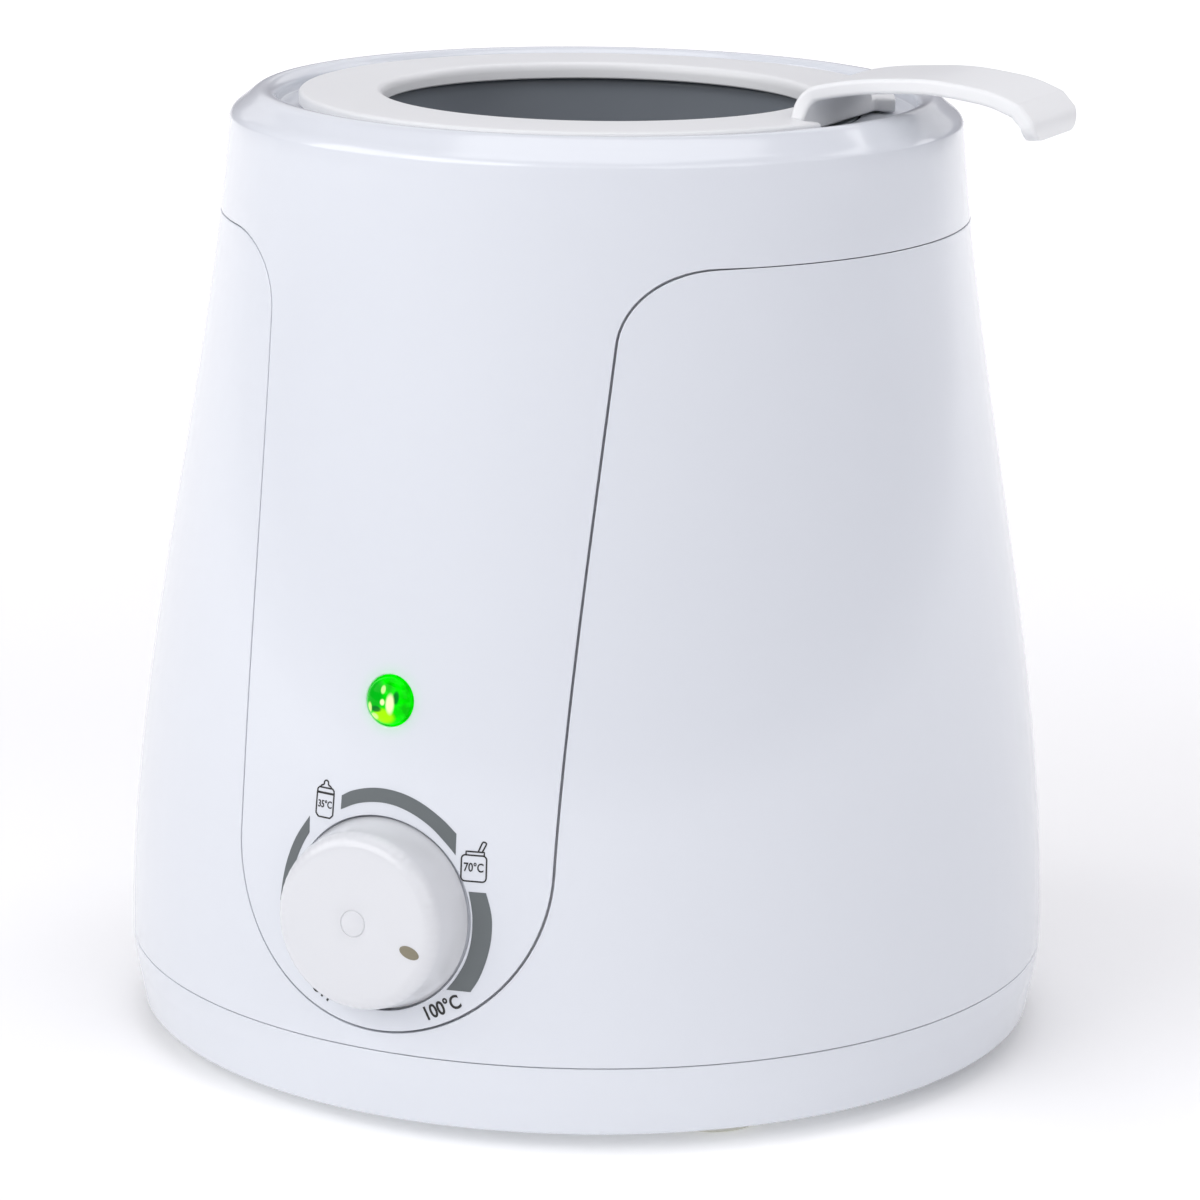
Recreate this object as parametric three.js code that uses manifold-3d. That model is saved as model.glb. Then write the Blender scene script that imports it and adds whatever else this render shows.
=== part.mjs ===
// Electric bottle and jar warmer: a cone-shaped housing round a heated water well, with a temperature
// knob, a pilot light and a lift-out ring whose handle reaches over the rim.
// Millimetres, +Z up, the front faces -Y, z = 0 is the table under the feet.
import * as THREE from 'three';
import { mergeVertices } from 'three/addons/utils/BufferGeometryUtils.js';
import Module from 'manifold-3d';

const wasm = await Module();
wasm.setup();

// ---- driving dimensions ----
const ROUND = 48;                 // sides of a full turn on the large shells
const WALL = 2.4;                 // moulded wall
const GAP = 0.3;                  // clearance between touching pieces

const BODY_R = 75;                // widest radius, at the base joint
const BASE_JOINT_Z = 14.36;       // joint between base cover and side shell
const BASE_LOW_Z = 3.2;           // underside of the base cover
const BASE_PLATE_TOP = BASE_LOW_Z + 2.6;
const BAND_Z = 133.07;            // joint between side shell and the band under the rim
const SHOULDER_Z = 148.2;         // where the cone turns into the rim
const SEAM = 0.4;                 // visible width of the housing joints

const RIM_CREST = { r: 53.6, z: 152.4 };
const RIM_INNER_R = 51;
const RECESS_Z = 149.4;           // floor that the lift ring lies on
const LEDGE_R = 42.2;             // step that holds the tank flange
const LEDGE_Z = 146.9;
const COLLAR_R = 38.6;            // short sleeve round the mouth of the tank
const COLLAR_DEPTH = 7;

const TANK_TOP_R = 36.2;
const TANK_LOW_R = 35.2;
const TANK_FLOOR_Z = 44;
const TANK_WALL = 1.2;
const TANK_BOTTOM = 2;
const TANK_FLANGE_R = 41.7;
const TANK_FLANGE_Z = 148.15;

const OPENING_R = 34;             // bottle opening in the lift ring
const RING_R = 47.36;
const RING_LOW_Z = 149.8;
const RING_TOP_Z = 151.85;
const HANDLE_WIDTH = 20;
const HANDLE_THICK = 2.4;
const HANDLE_REACH = 77.4;
const CRADLE_Z = 52;              // platform that the bottle stands on
const CRADLE_R = 35;
const CRADLE_HOLES = [{ ring: 11, hole: 2.6, turn: 0 }, { ring: 22, hole: 4, turn: 22.5 }];

const KNOB_Z = 36.05;             // knob axis where it meets the front panel
const KNOB_TILT = THREE.MathUtils.degToRad(4.5);
const KNOB_R = 14.9;
const KNOB_FACE = 7.65;           // how far the knob stands out
const SEAT_DEPTH = 1.7;           // flat seat sunk into the panel under the knob
const LED_Z = 68.4;
const LED_TILT = THREE.MathUtils.degToRad(8.8);
const LED_R = 3.85;
const CORD_Z = 26;
const BUSH_HOLE_R = 5.3;

const POST_RING_R = 48.5;         // pitch radius of the three long screw posts
const POST_ANGLES = [60, 180, 300];
const POST_FOOT_Z = 8.5;
const BRACKET_X = 47;             // posts that carry the heater bracket
const BRACKET_Z = 34.4;
const THERMOSTAT_SCREW_X = 9;
const BOARD_POST_X = 7.4;
const FOOT_RING_R = 58.4;
const FOOT_ANGLES = [45, 135, 225, 315];

// ---- colours and finishes ----
function finish(color, roughness, metalness = 0) {
  return new THREE.MeshStandardMaterial({ color, roughness, metalness });
}
const whiteGloss = finish(0xe9eaf0, 0.22);
const whiteSatin = finish(0xe4e4e6, 0.4);
const tankGrey = finish(0x7c8487, 0.45, 0.5);
const rubberGrey = finish(0xb9b7aa, 0.7);
const sealGrey = finish(0xd8d4cc, 0.6);
const steel = finish(0xa9abad, 0.35, 0.9);
const aluminium = finish(0xc3c6c8, 0.4, 0.9);
const ceramic = finish(0xe8e2d4, 0.6);
const greenLens = finish(0x2fd02a, 0.12);
const ledEpoxy = finish(0x9be89a, 0.2);
const boardGreen = finish(0x2d6b44, 0.6);
const wireSleeve = finish(0xe6e6df, 0.6);
const bushWhite = finish(0xdcdcdc, 0.5);

// ---- solids ----
function solid(geometry) {
  const plain = geometry.clone();
  plain.deleteAttribute('normal');
  plain.deleteAttribute('uv');
  const merged = mergeVertices(plain, 1e-4);
  const at = merged.attributes.position.array;
  const corners = [];
  let volume = 0;
  for (let i = 0; i < merged.index.count; i += 3) {
    const [a, b, c] = [0, 1, 2].map((k) => merged.index.array[i + k]);
    if (a === b || b === c || c === a) continue;
    corners.push(a, b, c);
    const [p, q, s] = [a, b, c].map((v) => new THREE.Vector3().fromArray(at, 3 * v));
    volume += p.dot(q.cross(s));
  }
  if (volume < 0) corners.reverse();
  const mesh = new wasm.Mesh({
    numProp: 3,
    vertProperties: Float32Array.from(at),
    triVerts: Uint32Array.from(corners),
  });
  return new wasm.Manifold(mesh);
}

function toGeometry(manifold) {
  const mesh = manifold.getMesh();
  const geometry = new THREE.BufferGeometry();
  geometry.setAttribute('position', new THREE.BufferAttribute(Float32Array.from(mesh.vertProperties), 3));
  geometry.setIndex(new THREE.BufferAttribute(Uint32Array.from(mesh.triVerts), 1));
  geometry.computeVertexNormals();
  return geometry;
}

// a profile of [radius, height] pairs, closed on itself or on the axis, turned about Z
function turned(profile, sides = ROUND) {
  const points = profile.map(([r, z]) => new THREE.Vector2(r, z));
  const closed = profile[0][0] === 0 && profile.at(-1)[0] === 0;
  if (!closed) points.push(points[0].clone());
  return solid(new THREE.LatheGeometry(points, sides).rotateX(Math.PI / 2));
}

const rod = (r, low, high, x = 0, y = 0, sides = 24) =>
  turned([[0, low], [r, low], [r, high], [0, high]], sides).translate([x, y, 0]);

const block = (x, y, z, w, d, h) => solid(new THREE.BoxGeometry(w, d, h).translate(x, y, z));

// an outline in the XZ plane pushed through the body along Y
function slab(outline, yLow, yHigh) {
  const shape = new THREE.Shape(outline.map(([x, z]) => new THREE.Vector2(x, z)));
  const geometry = new THREE.ExtrudeGeometry(shape, { depth: yHigh - yLow, bevelEnabled: false });
  return solid(geometry.rotateX(Math.PI / 2).translate(0, yHigh, 0));
}

const add = (...parts) => parts.reduce((a, b) => a.add(b));
const cut = (from, ...tools) => tools.reduce((a, b) => a.subtract(b), from);

function around(angleDeg, radius) {
  const a = THREE.MathUtils.degToRad(angleDeg);
  return [radius * Math.sin(a), -radius * Math.cos(a)];
}

// ---- housing outline ----
function bodyRadius(z) {
  const t = Math.max(0, (z - BASE_JOINT_Z) / (SHOULDER_Z - BASE_JOINT_Z));
  return BODY_R - t * t * (39.6 - 22.9 * t);
}

function outlinePoints(zLow, zHigh, steps, inset = 0) {
  const points = [];
  for (let i = 0; i <= steps; i += 1) {
    const z = zLow + ((zHigh - zLow) * i) / steps;
    points.push([bodyRadius(z) - inset, z]);
  }
  return points;
}

function coneShell(zLow, zHigh, steps) {
  const outside = outlinePoints(zLow, zHigh, steps);
  const inside = outlinePoints(zLow, zHigh, steps, WALL).reverse();
  return turned([...outside, ...inside]);
}

// front view of the tongue panel: a round end below the knob, sides that spread, and swept corners
// that run out into the band joint; `grow` widens it for the matching cut-out
const PANEL = { footZ: 17.9, centreZ: 44.4, lowHalf: 26.55, topHalf: 28.9, sweepZ: 122, sweepX: 41 };
const PANEL_CUT = 90;             // how far forward a cut through the front reaches

function panelOutline(grow) {
  const half = [];
  const { footZ, centreZ, lowHalf, topHalf, sweepZ, sweepX } = PANEL;
  for (let i = 0; i <= 8; i += 1) {
    const a = (i / 8) * (Math.PI / 2);
    half.push([(lowHalf + grow) * Math.sin(a), centreZ - (centreZ - footZ + grow) * Math.cos(a)]);
  }
  for (let i = 1; i <= 4; i += 1) {
    const t = i / 4;
    half.push([lowHalf + grow + (topHalf - lowHalf) * t ** 1.4, centreZ + (sweepZ - centreZ) * t]);
  }
  for (let i = 1; i <= 6; i += 1) {
    const a = (i / 6) * (Math.PI / 2);
    half.push([
      sweepX - (sweepX - topHalf - grow) * Math.cos(a),
      sweepZ + (BAND_Z - grow - sweepZ) * Math.sin(a),
    ]);
  }
  half.push([sweepX, BAND_Z + 5]);
  const mirrored = half.slice(1).reverse().map(([x, z]) => [-x, z]);
  return [...half, ...mirrored];
}

// ---- frames that stand square to the front panel ----
function panelFrame(z, tilt) {
  return new THREE.Matrix4()
    .makeTranslation(0, -bodyRadius(z), z)
    .multiply(new THREE.Matrix4().makeRotationX(Math.PI / 2 - tilt));
}
const knobFrame = panelFrame(KNOB_Z, KNOB_TILT);
const ledFrame = panelFrame(LED_Z, LED_TILT);
const place = (manifold, frame) => manifold.transform(frame.toArray());

// ---- housing pieces ----
function topHousing() {
  const rim = [
    [bodyRadius(SHOULDER_Z), SHOULDER_Z],
    [57.9, 149.7],
    [57.0, 150.9],
    [55.6, 151.8],
    [RIM_CREST.r, RIM_CREST.z],
    [52.0, 152.25],
    [RIM_INNER_R, 151.6],
    [RIM_INNER_R - 0.3, RECESS_Z],
    [LEDGE_R, RECESS_Z],
    [LEDGE_R, LEDGE_Z],
    [COLLAR_R, LEDGE_Z],
    [COLLAR_R, LEDGE_Z - COLLAR_DEPTH],
    [COLLAR_R + 2, LEDGE_Z - COLLAR_DEPTH],
    [COLLAR_R + 2, LEDGE_Z - WALL],
    [RIM_INNER_R - 3, RECESS_Z - WALL],
    [bodyRadius(SHOULDER_Z) - WALL, SHOULDER_Z - 1],
  ];
  const low = BAND_Z + SEAM;
  const band = turned([
    ...outlinePoints(low, SHOULDER_Z, 3).slice(0, -1),
    ...rim,
    ...outlinePoints(low, SHOULDER_Z - 4, 2, WALL).reverse(),
  ]);
  const tongue = coneShell(PANEL.footZ - 2, BAND_Z + 2, 7).intersect(slab(panelOutline(0), -PANEL_CUT, 0));
  const postTop = RECESS_Z - 1.5;
  const posts = POST_ANGLES.map((a) => rod(4.2, POST_FOOT_Z, postTop, ...around(a, POST_RING_R), 12));
  const hangers = [-BRACKET_X, BRACKET_X].map((x) => rod(3.6, BRACKET_Z + 2.1, postTop, x, 0, 12));
  const seatPad = place(rod(18, -SEAT_DEPTH - WALL, -1.2, 0, 0, 32), knobFrame);
  const boardPostXs = [-BOARD_POST_X, BOARD_POST_X];
  const boardPosts = boardPostXs.map((x) => place(rod(1.6, -9.3, -1.5, x, 0, 12), ledFrame));
  const whole = add(band, tongue, ...posts, ...hangers, seatPad, ...boardPosts);
  const pilots = POST_ANGLES.map((a) => rod(1.8, 8, 20, ...around(a, POST_RING_R), 10));
  const hangerPilots = [-BRACKET_X, BRACKET_X].map((x) => rod(1.8, 36, 48, x, 0, 12));
  const seat = place(rod(KNOB_R + 0.7, -SEAT_DEPTH, 6, 0, 0, 48), knobFrame);
  const spindleHole = place(rod(3.9, -10, 6), knobFrame);
  const screwXs = [-THERMOSTAT_SCREW_X, THERMOSTAT_SCREW_X];
  const screwHoles = screwXs.map((x) => place(rod(1.7, -10, 6, x, 0, 12), knobFrame));
  const lensHole = place(rod(LED_R + GAP, -8, 4), ledFrame);
  return cut(whole, ...pilots, ...hangerPilots, seat, spindleHole, ...screwHoles, lensHole);
}

function sideShell() {
  const wrap = coneShell(BASE_JOINT_Z + SEAM, BAND_Z, 7);
  const cordHole = rod(BUSH_HOLE_R, 60, 90).rotate([-90, 0, 0]).translate([0, 0, CORD_Z]);
  return cut(wrap, slab(panelOutline(SEAM), -PANEL_CUT, 0), cordHole);
}

function baseCover() {
  const lowR = 73.2;
  const round = 3;
  const corner = [0, 1, 2, 3].map((i) => {
    const a = (i / 3) * (Math.PI / 2);
    return [lowR - round * (1 - Math.sin(a)), BASE_LOW_Z + round * (1 - Math.cos(a))];
  });
  const tray = turned([
    [0, BASE_LOW_Z],
    ...corner,
    [74.5, 10.4],
    [BODY_R, BASE_JOINT_Z],
    [BODY_R - WALL, BASE_JOINT_Z],
    [BODY_R - WALL - 1.2, BASE_PLATE_TOP + 1.5],
    [BODY_R - WALL - 3, BASE_PLATE_TOP],
    [0, BASE_PLATE_TOP],
  ]);
  const bosses = POST_ANGLES.map((a) => rod(6.5, BASE_LOW_Z + 1, 8.2, ...around(a, POST_RING_R), 16));
  const wells = POST_ANGLES.map((a) => rod(4, BASE_LOW_Z - 1, 6, ...around(a, POST_RING_R), 16));
  const holes = POST_ANGLES.map((a) => rod(1.9, BASE_LOW_Z, 9, ...around(a, POST_RING_R), 12));
  const footHoles = FOOT_ANGLES.map((a) => rod(2.9, 0, 9, ...around(a, FOOT_RING_R), 12));
  const vents = [-20, -12, -4, 4, 12, 20].map((x) => block(x, 8, BASE_LOW_Z, 3, 26, 10));
  return cut(add(tray, ...bosses), ...wells, ...holes, ...footHoles, ...vents);
}

// a soft pad on a peg that snaps into the base
const foot = () =>
  turned([[0, 0], [6.2, 0], [7, 0.8], [7, 3], [2.5, 3], [2.5, 6.1], [3.4, 6.2], [2.2, 7.8], [0, 7.8]], 12);

function screw(headR, headH, shankR, length) {
  const end = headH + length;
  return turned([[0, 0], [headR, 0], [headR, headH], [shankR, headH], [shankR, end], [0, end]], 10);
}

// the cord's inlet: a short sleeve that grips the wall between two flanges
function cordBush() {
  const sleeve = turned([
    [3.3, -5], [7, -5], [7, -3.4], [4.9, -3.4], [4.9, 0.7],
    [7, 0.7], [6.6, 2], [5.4, 6.5], [3.3, 6.5],
  ], 16);
  return sleeve.rotate([-90, 0, 0]).translate([0, bodyRadius(CORD_Z), CORD_Z]);
}

// ---- water well and heater ----
function tank() {
  const turn = 6;
  const inner = [];
  const outer = [];
  for (let i = 0; i <= 4; i += 1) {
    const a = (i / 4) * (Math.PI / 2);
    inner.push([TANK_LOW_R - turn * (1 - Math.sin(a)), TANK_FLOOR_Z + turn * (1 - Math.cos(a))]);
    outer.push([
      TANK_LOW_R + TANK_WALL - turn * (1 - Math.sin(a)),
      TANK_FLOOR_Z - TANK_BOTTOM + turn * (1 - Math.cos(a)),
    ]);
  }
  return turned([
    [0, TANK_FLOOR_Z - TANK_BOTTOM],
    ...outer,
    [TANK_TOP_R + TANK_WALL, TANK_FLANGE_Z - 2],
    [TANK_TOP_R + TANK_WALL, TANK_FLANGE_Z],
    [TANK_FLANGE_R, TANK_FLANGE_Z],
    [TANK_FLANGE_R, TANK_FLANGE_Z + TANK_WALL],
    [TANK_TOP_R + 0.4, TANK_FLANGE_Z + TANK_WALL],
    [TANK_TOP_R, TANK_FLANGE_Z + 0.8],
    ...inner.reverse(),
    [0, TANK_FLOOR_Z],
  ], 40);
}

function tankSeal() {
  const [inner, outer] = [COLLAR_R + 0.5, LEDGE_R - 0.4];
  const [low, top] = [LEDGE_Z + 0.05, TANK_FLANGE_Z - 0.05];
  return turned([[inner, low], [outer, low], [outer, top], [inner, top]], 40);
}

const heaterPlate = () => rod(30, 38.9, 41.7, 0, 0, 40);
const ptcHeater = () => block(0, 0, 37.45, 36, 20, 2.3);
const thermalFuse = () => rod(2, -6, 6, 0, 0, 16).rotate([0, 90, 0]).translate([0, 20, 36.5]);

function heaterBracket() {
  const strap = block(0, 0, BRACKET_Z + 0.8, 2 * BRACKET_X + 10, 12, 1.6);
  return cut(strap, ...[-BRACKET_X, BRACKET_X].map((x) => rod(1.9, 30, 40, x, 0, 12)));
}

// ---- thermostat, spindle and knob, in the knob's own frame ----
const thermostatBody = () => cut(block(0, 0, -16.4, 26, 26, 15.4), rod(3.4, -18, -5));

function thermostatBracket() {
  const holes = [-THERMOSTAT_SCREW_X, THERMOSTAT_SCREW_X].map((x) => rod(1.7, -12, 0, x, 0, 12));
  return cut(block(0, 0, -7.4, 27, 22, 1.4), rod(3.6, -12, 0), ...holes);
}

const spindle = () => turned([[0, -17.6], [3, -17.6], [3, 3.3], [2.6, 3.8], [0, 3.8]], 20);

function knob() {
  const shoulder = [];
  for (let i = 0; i <= 4; i += 1) {
    const a = (i / 4) * (Math.PI / 2);
    shoulder.push([11.6 + 2.2 * Math.cos(a), 4.9 + 2.2 * Math.sin(a)]);
  }
  return turned([
    [0, 4.2],
    [3.3, 4.2],
    [3.3, -0.9],
    [4.8, -0.9],
    [4.8, 3.4],
    [11.6, 3.4],
    [12.9, -1.4],
    [KNOB_R, -1.4],
    ...shoulder,
    [7, KNOB_FACE - 0.2],
    [0, KNOB_FACE],
  ], 32);
}

// ---- pilot light, in its own frame ----
const ledLens = () =>
  turned([
    [0, -0.3], [2.9, -0.3], [2.9, -4.2], [4.9, -4.2], [4.9, -3.1], [LED_R, -3.1], [LED_R, 0.4],
    [3.5, 1.1], [2.5, 1.7], [1.2, 2.05], [0, 2.1],
  ], 20);
const ledBody = () =>
  turned([[0, -9.3], [2.8, -9.3], [2.8, -8.3], [2.5, -8.3], [2.5, -2.2], [1.6, -1.2], [0, -0.9]], 16);
const ledBoard = () => block(0, 0, -10.4, 18, 14, 1.6);

// ---- lift ring with its handle ----
function stripOutline() {
  const top = new THREE.SplineCurve([
    [OPENING_R - 2, 149.8], [OPENING_R - 1.9, 152.2], [35.6, 154.6], [40.5, 156.7], [48.2, 158.3],
    [58.9, 158.9], [67, 158.3], [71.6, 156.8], [74.8, 154.6], [HANDLE_REACH, 151.6],
  ].map(([x, z]) => new THREE.Vector2(x, z)));
  const upper = [];
  const lower = [];
  const steps = 22;
  for (let i = 0; i <= steps; i += 1) {
    const at = top.getPoint(i / steps);
    const along = top.getTangent(i / steps);
    const thick = i === 0 ? HANDLE_THICK + 2.4 : HANDLE_THICK;
    upper.push([at.x, at.y]);
    lower.push([at.x + along.y * thick, at.y - along.x * thick]);
  }
  lower[0] = [OPENING_R + 2.6, 149.8];
  lower[1] = [OPENING_R + 2.6, 150.8];
  return [...upper, ...lower.filter(([x]) => x >= OPENING_R + 0.5).reverse()];
}

// the handle seen from above, with its rounded tip
function handlePlan() {
  const half = HANDLE_WIDTH / 2;
  const corner = 5;
  const cornerX = HANDLE_REACH + 0.2 - corner;
  const shape = new THREE.Shape();
  shape.moveTo(20, -half);
  shape.lineTo(cornerX, -half);
  shape.absarc(cornerX, corner - half, corner, -Math.PI / 2, 0, false);
  shape.absarc(cornerX, half - corner, corner, 0, Math.PI / 2, false);
  shape.lineTo(20, half);
  const geometry = new THREE.ExtrudeGeometry(shape, { depth: 30, bevelEnabled: false, curveSegments: 6 });
  return solid(geometry.translate(0, 0, 140));
}

function liftRing() {
  const plate = turned([
    [OPENING_R, RING_LOW_Z],
    [RING_R - 0.4, RING_LOW_Z],
    [RING_R, RING_LOW_Z + 0.5],
    [RING_R, RING_TOP_Z - 0.6],
    [RING_R - 0.6, RING_TOP_Z],
    [OPENING_R + 1, RING_TOP_Z],
    [OPENING_R + 0.3, RING_TOP_Z - 0.3],
    [OPENING_R, RING_TOP_Z - 1],
  ]);
  const notch = block(OPENING_R + 13.6, 0, RING_LOW_Z + 0.2, 20, HANDLE_WIDTH + 2 * GAP, 8);
  const strip = slab(stripOutline(), -HANDLE_WIDTH / 2, HANDLE_WIDTH / 2).intersect(handlePlan());
  const well = rod(OPENING_R, 140, 170, 0, 0, ROUND);
  return cut(add(cut(plate, notch), strip), well);
}

// ---- cradle that hangs from the ring and carries the bottle ----
function liftCradle() {
  const top = RING_LOW_Z - 0.1;
  const curvedWall = turned([[CRADLE_R - 1.1, CRADLE_Z], [CRADLE_R, CRADLE_Z], [35.5, top], [34.4, top]]);
  const stem = curvedWall.intersect(block(CRADLE_R - 1, 0, 100, 12, HANDLE_WIDTH, 120));
  const discTop = CRADLE_Z + 2;
  const disc = turned([[0, CRADLE_Z], [CRADLE_R, CRADLE_Z], [CRADLE_R - 0.1, discTop], [0, discTop]]);
  const holes = [rod(4.5, CRADLE_Z - 2, CRADLE_Z + 4)];
  for (const { ring, hole, turn } of CRADLE_HOLES) {
    for (let i = 0; i < 8; i += 1) {
      holes.push(rod(hole, CRADLE_Z - 2, CRADLE_Z + 4, ...around(turn + 45 * i, ring), 10));
    }
  }
  return cut(add(disc, stem), ...holes);
}

// ---- wiring ----
const TERMINAL = { x: -22.2, y: 38, pitch: 9 };
const WIRE_R = 1.1;
const terminalBlock = () =>
  cut(
    block(TERMINAL.x, TERMINAL.y, 12, 30, 14, 11),
    ...[-1, 0, 1].map((s) => rod(2.2, 10, 20, TERMINAL.x + s * TERMINAL.pitch, TERMINAL.y, 12)),
  );

function wire(points) {
  const path = new THREE.CatmullRomCurve3(points.map((p) => new THREE.Vector3(...p)));
  const section = new THREE.Shape();
  section.absarc(0, 0, WIRE_R, 0, 2 * Math.PI, false);
  const options = { steps: 16, curveSegments: 4, extrudePath: path, bevelEnabled: false };
  return solid(new THREE.ExtrudeGeometry(section, options));
}

// routes between the inlet terminals, the thermostat, the heater and the pilot light
const SUPPLY_ROUTE = [
  [-31.2, 30.5, 12], [-36, 12, 10], [-35, -20, 12], [-24, -40, 24], [-10, -45, 27.5], [-8, -49.2, 28],
];
const HEATER_ROUTE = [
  [8, -49.2, 28], [9.5, -45.5, 27], [16, -40, 23], [30, -28, 24], [33, -14, 33], [27, -8.3, 37.1],
  [18.6, -8.3, 37.3],
];
const FUSE_ROUTE = [
  [-13.2, 30.2, 12], [-13.3, 27.4, 13.5], [-14, 25, 20], [-15, 21.5, 31], [-11, 20, 36.1], [-6.6, 20, 36.5],
];
const LED_ROUTE = [
  [0, -58.2, 66.5], [0, -53, 62], [2, -45, 46], [0, -42, 24], [-8, -20, 12], [-20, 10, 10],
  [-22.2, 30.5, 12],
];

// ---- assembly ----
const warmer = new THREE.Group();

function put(name, manifold, material, parent = warmer) {
  const mesh = new THREE.Mesh(toGeometry(manifold), material);
  mesh.name = name;
  parent.add(mesh);
}

function framed(matrix) {
  const group = new THREE.Group();
  group.applyMatrix4(matrix);
  warmer.add(group);
  return group;
}

put('top_housing', topHousing(), whiteGloss);
put('side_shell', sideShell(), whiteGloss);
put('base_cover', baseCover(), whiteGloss);
FOOT_ANGLES.forEach((a, i) => {
  put(`foot_${i + 1}`, foot().translate([...around(a, FOOT_RING_R), 0]), rubberGrey);
});
POST_ANGLES.forEach((a, i) => {
  put(`base_screw_${i + 1}`, screw(3.4, 1.8, 1.5, 10).translate([...around(a, POST_RING_R), 4]), steel);
});
put('cord_bush', cordBush(), bushWhite);

put('tank', tank(), tankGrey);
put('tank_seal', tankSeal(), sealGrey);
put('heater_plate', heaterPlate(), aluminium);
put('ptc_heater', ptcHeater(), ceramic);
put('heater_bracket', heaterBracket(), steel);
[-BRACKET_X, BRACKET_X].forEach((x, i) => {
  put(`bracket_screw_${i + 1}`, screw(3, 2, 1.5, 11).translate([x, 0, BRACKET_Z - 2.3]), steel);
});
put('thermal_fuse', thermalFuse(), ceramic);

const knobGroup = framed(knobFrame);
put('thermostat_body', thermostatBody(), ceramic, knobGroup);
put('thermostat_bracket', thermostatBracket(), steel, knobGroup);
[-THERMOSTAT_SCREW_X, THERMOSTAT_SCREW_X].forEach((x, i) => {
  const fixing = screw(2.5, 1.6, 1.35, 6.2).rotate([180, 0, 0]).translate([x, 0, 0.2]);
  put(`thermostat_screw_${i + 1}`, fixing, steel, knobGroup);
});
put('spindle', spindle(), steel, knobGroup);
put('knob', knob(), whiteSatin, knobGroup);

const ledGroup = framed(ledFrame);
put('led_lens', ledLens(), greenLens, ledGroup);
put('led_body', ledBody(), ledEpoxy, ledGroup);
put('led_board', ledBoard(), boardGreen, ledGroup);

put('terminal_block', terminalBlock(), ceramic);
put('wire_supply', wire(SUPPLY_ROUTE), wireSleeve);
put('wire_heater', wire(HEATER_ROUTE), wireSleeve);
put('wire_fuse', wire(FUSE_ROUTE), wireSleeve);
put('wire_led', wire(LED_ROUTE), wireSleeve);

put('lift_ring', liftRing(), whiteSatin);
put('lift_cradle', liftCradle(), whiteSatin);

export default warmer;
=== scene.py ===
"""Looks of the bottle warmer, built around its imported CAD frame: the white housing with its front panel, the
dial with its printed scale, the lit pilot light, the water well and the lift-out ring with its handle."""

import math

import bmesh
import bpy
import numpy as np
from mathutils import Matrix, Vector, geometry, kdtree


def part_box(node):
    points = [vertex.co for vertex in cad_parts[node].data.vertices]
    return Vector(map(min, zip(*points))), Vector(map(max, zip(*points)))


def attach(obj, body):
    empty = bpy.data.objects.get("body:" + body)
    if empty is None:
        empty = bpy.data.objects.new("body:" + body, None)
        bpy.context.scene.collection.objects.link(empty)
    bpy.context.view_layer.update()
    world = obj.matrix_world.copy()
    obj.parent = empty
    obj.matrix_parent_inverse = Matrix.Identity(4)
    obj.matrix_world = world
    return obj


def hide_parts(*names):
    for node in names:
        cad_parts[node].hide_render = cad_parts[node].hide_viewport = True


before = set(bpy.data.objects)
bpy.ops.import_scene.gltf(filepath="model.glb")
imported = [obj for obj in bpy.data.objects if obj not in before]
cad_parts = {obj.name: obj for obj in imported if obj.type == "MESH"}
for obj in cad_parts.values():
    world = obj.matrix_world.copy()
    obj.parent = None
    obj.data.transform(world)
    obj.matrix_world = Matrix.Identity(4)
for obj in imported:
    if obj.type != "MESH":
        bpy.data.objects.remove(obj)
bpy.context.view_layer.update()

MM = 0.001

# ---- driving dimensions, in millimetres, from the frame where it has them ----


def box_mm(node):
    low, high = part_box(node)
    return Vector(low) / MM, Vector(high) / MM


SHELL_LOW, SHELL_HIGH = box_mm("side_shell")
BASE_LOW, BASE_HIGH = box_mm("base_cover")
_, TOP_HIGH = box_mm("top_housing")
RING_LOW, RING_HIGH = box_mm("lift_ring")
TANK_LOW, TANK_HIGH = box_mm("tank")
CRADLE_LOW, CRADLE_HIGH = box_mm("lift_cradle")
BUSH_LOW, BUSH_HIGH = box_mm("cord_bush")
_, BRACKET_HIGH = box_mm("heater_bracket")

BODY_R = SHELL_HIGH.x
BASE_JOINT_Z = BASE_HIGH.z
BASE_LOW_Z = BASE_LOW.z
BAND_Z = SHELL_HIGH.z
SEAM = SHELL_LOW.z - BASE_JOINT_Z
BASE_SEAM_Z = (SHELL_LOW.z + BASE_JOINT_Z) / 2
PANEL_GAP_LEFT = 0.2
PANEL_GAP_RIGHT = 0.38
BAND_GAP = 0.13
RIM_TOP_Z = TOP_HIGH.z
SHOULDER_Z = RIM_TOP_Z - 4.2
WALL = 2.4

# how far the side leans in by the shoulder, and the part of it that eases off again
TAPER = 39.6
TAPER_EASE = 22.9

# each moulding's tongue lies in the next one's groove, at these depths under the surface
TONGUE_TOP, TONGUE_LOW, TONGUE_REACH = 1.7, 2.15, SEAM + 0.9
GROOVE_TOP, GROOVE_LOW, GROOVE_REACH = 1.6, 2.27, 1.3
BASE_TONGUE_RISE = 1.1

RECESS_Z = RIM_TOP_Z - 3.0
RIM_INNER_R = 51.0
LEDGE_R = 42.2
LEDGE_Z = RECESS_Z - 2.5
COLLAR_R = 38.6

RING_LOW_Z = RING_LOW.z
RING_TOP_Z = RING_LOW_Z + 2.25
RING_R = RING_HIGH.y
OPENING_R = 34.0
CRADLE_R = 34.95
HANDLE_WIDTH = 20.0
HANDLE_THICK = 2.4
SLOT_HALF = 15.2  # half the width of the notch in the ring, under the handle
HANDLE_ROOT_X = 39.2
ROOT_FLARE = 4.2
ROOT_FLARE_LENGTH = 16
TIP_CORNER = 3.4
CREASE_CLEARANCE = 0.9

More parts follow.
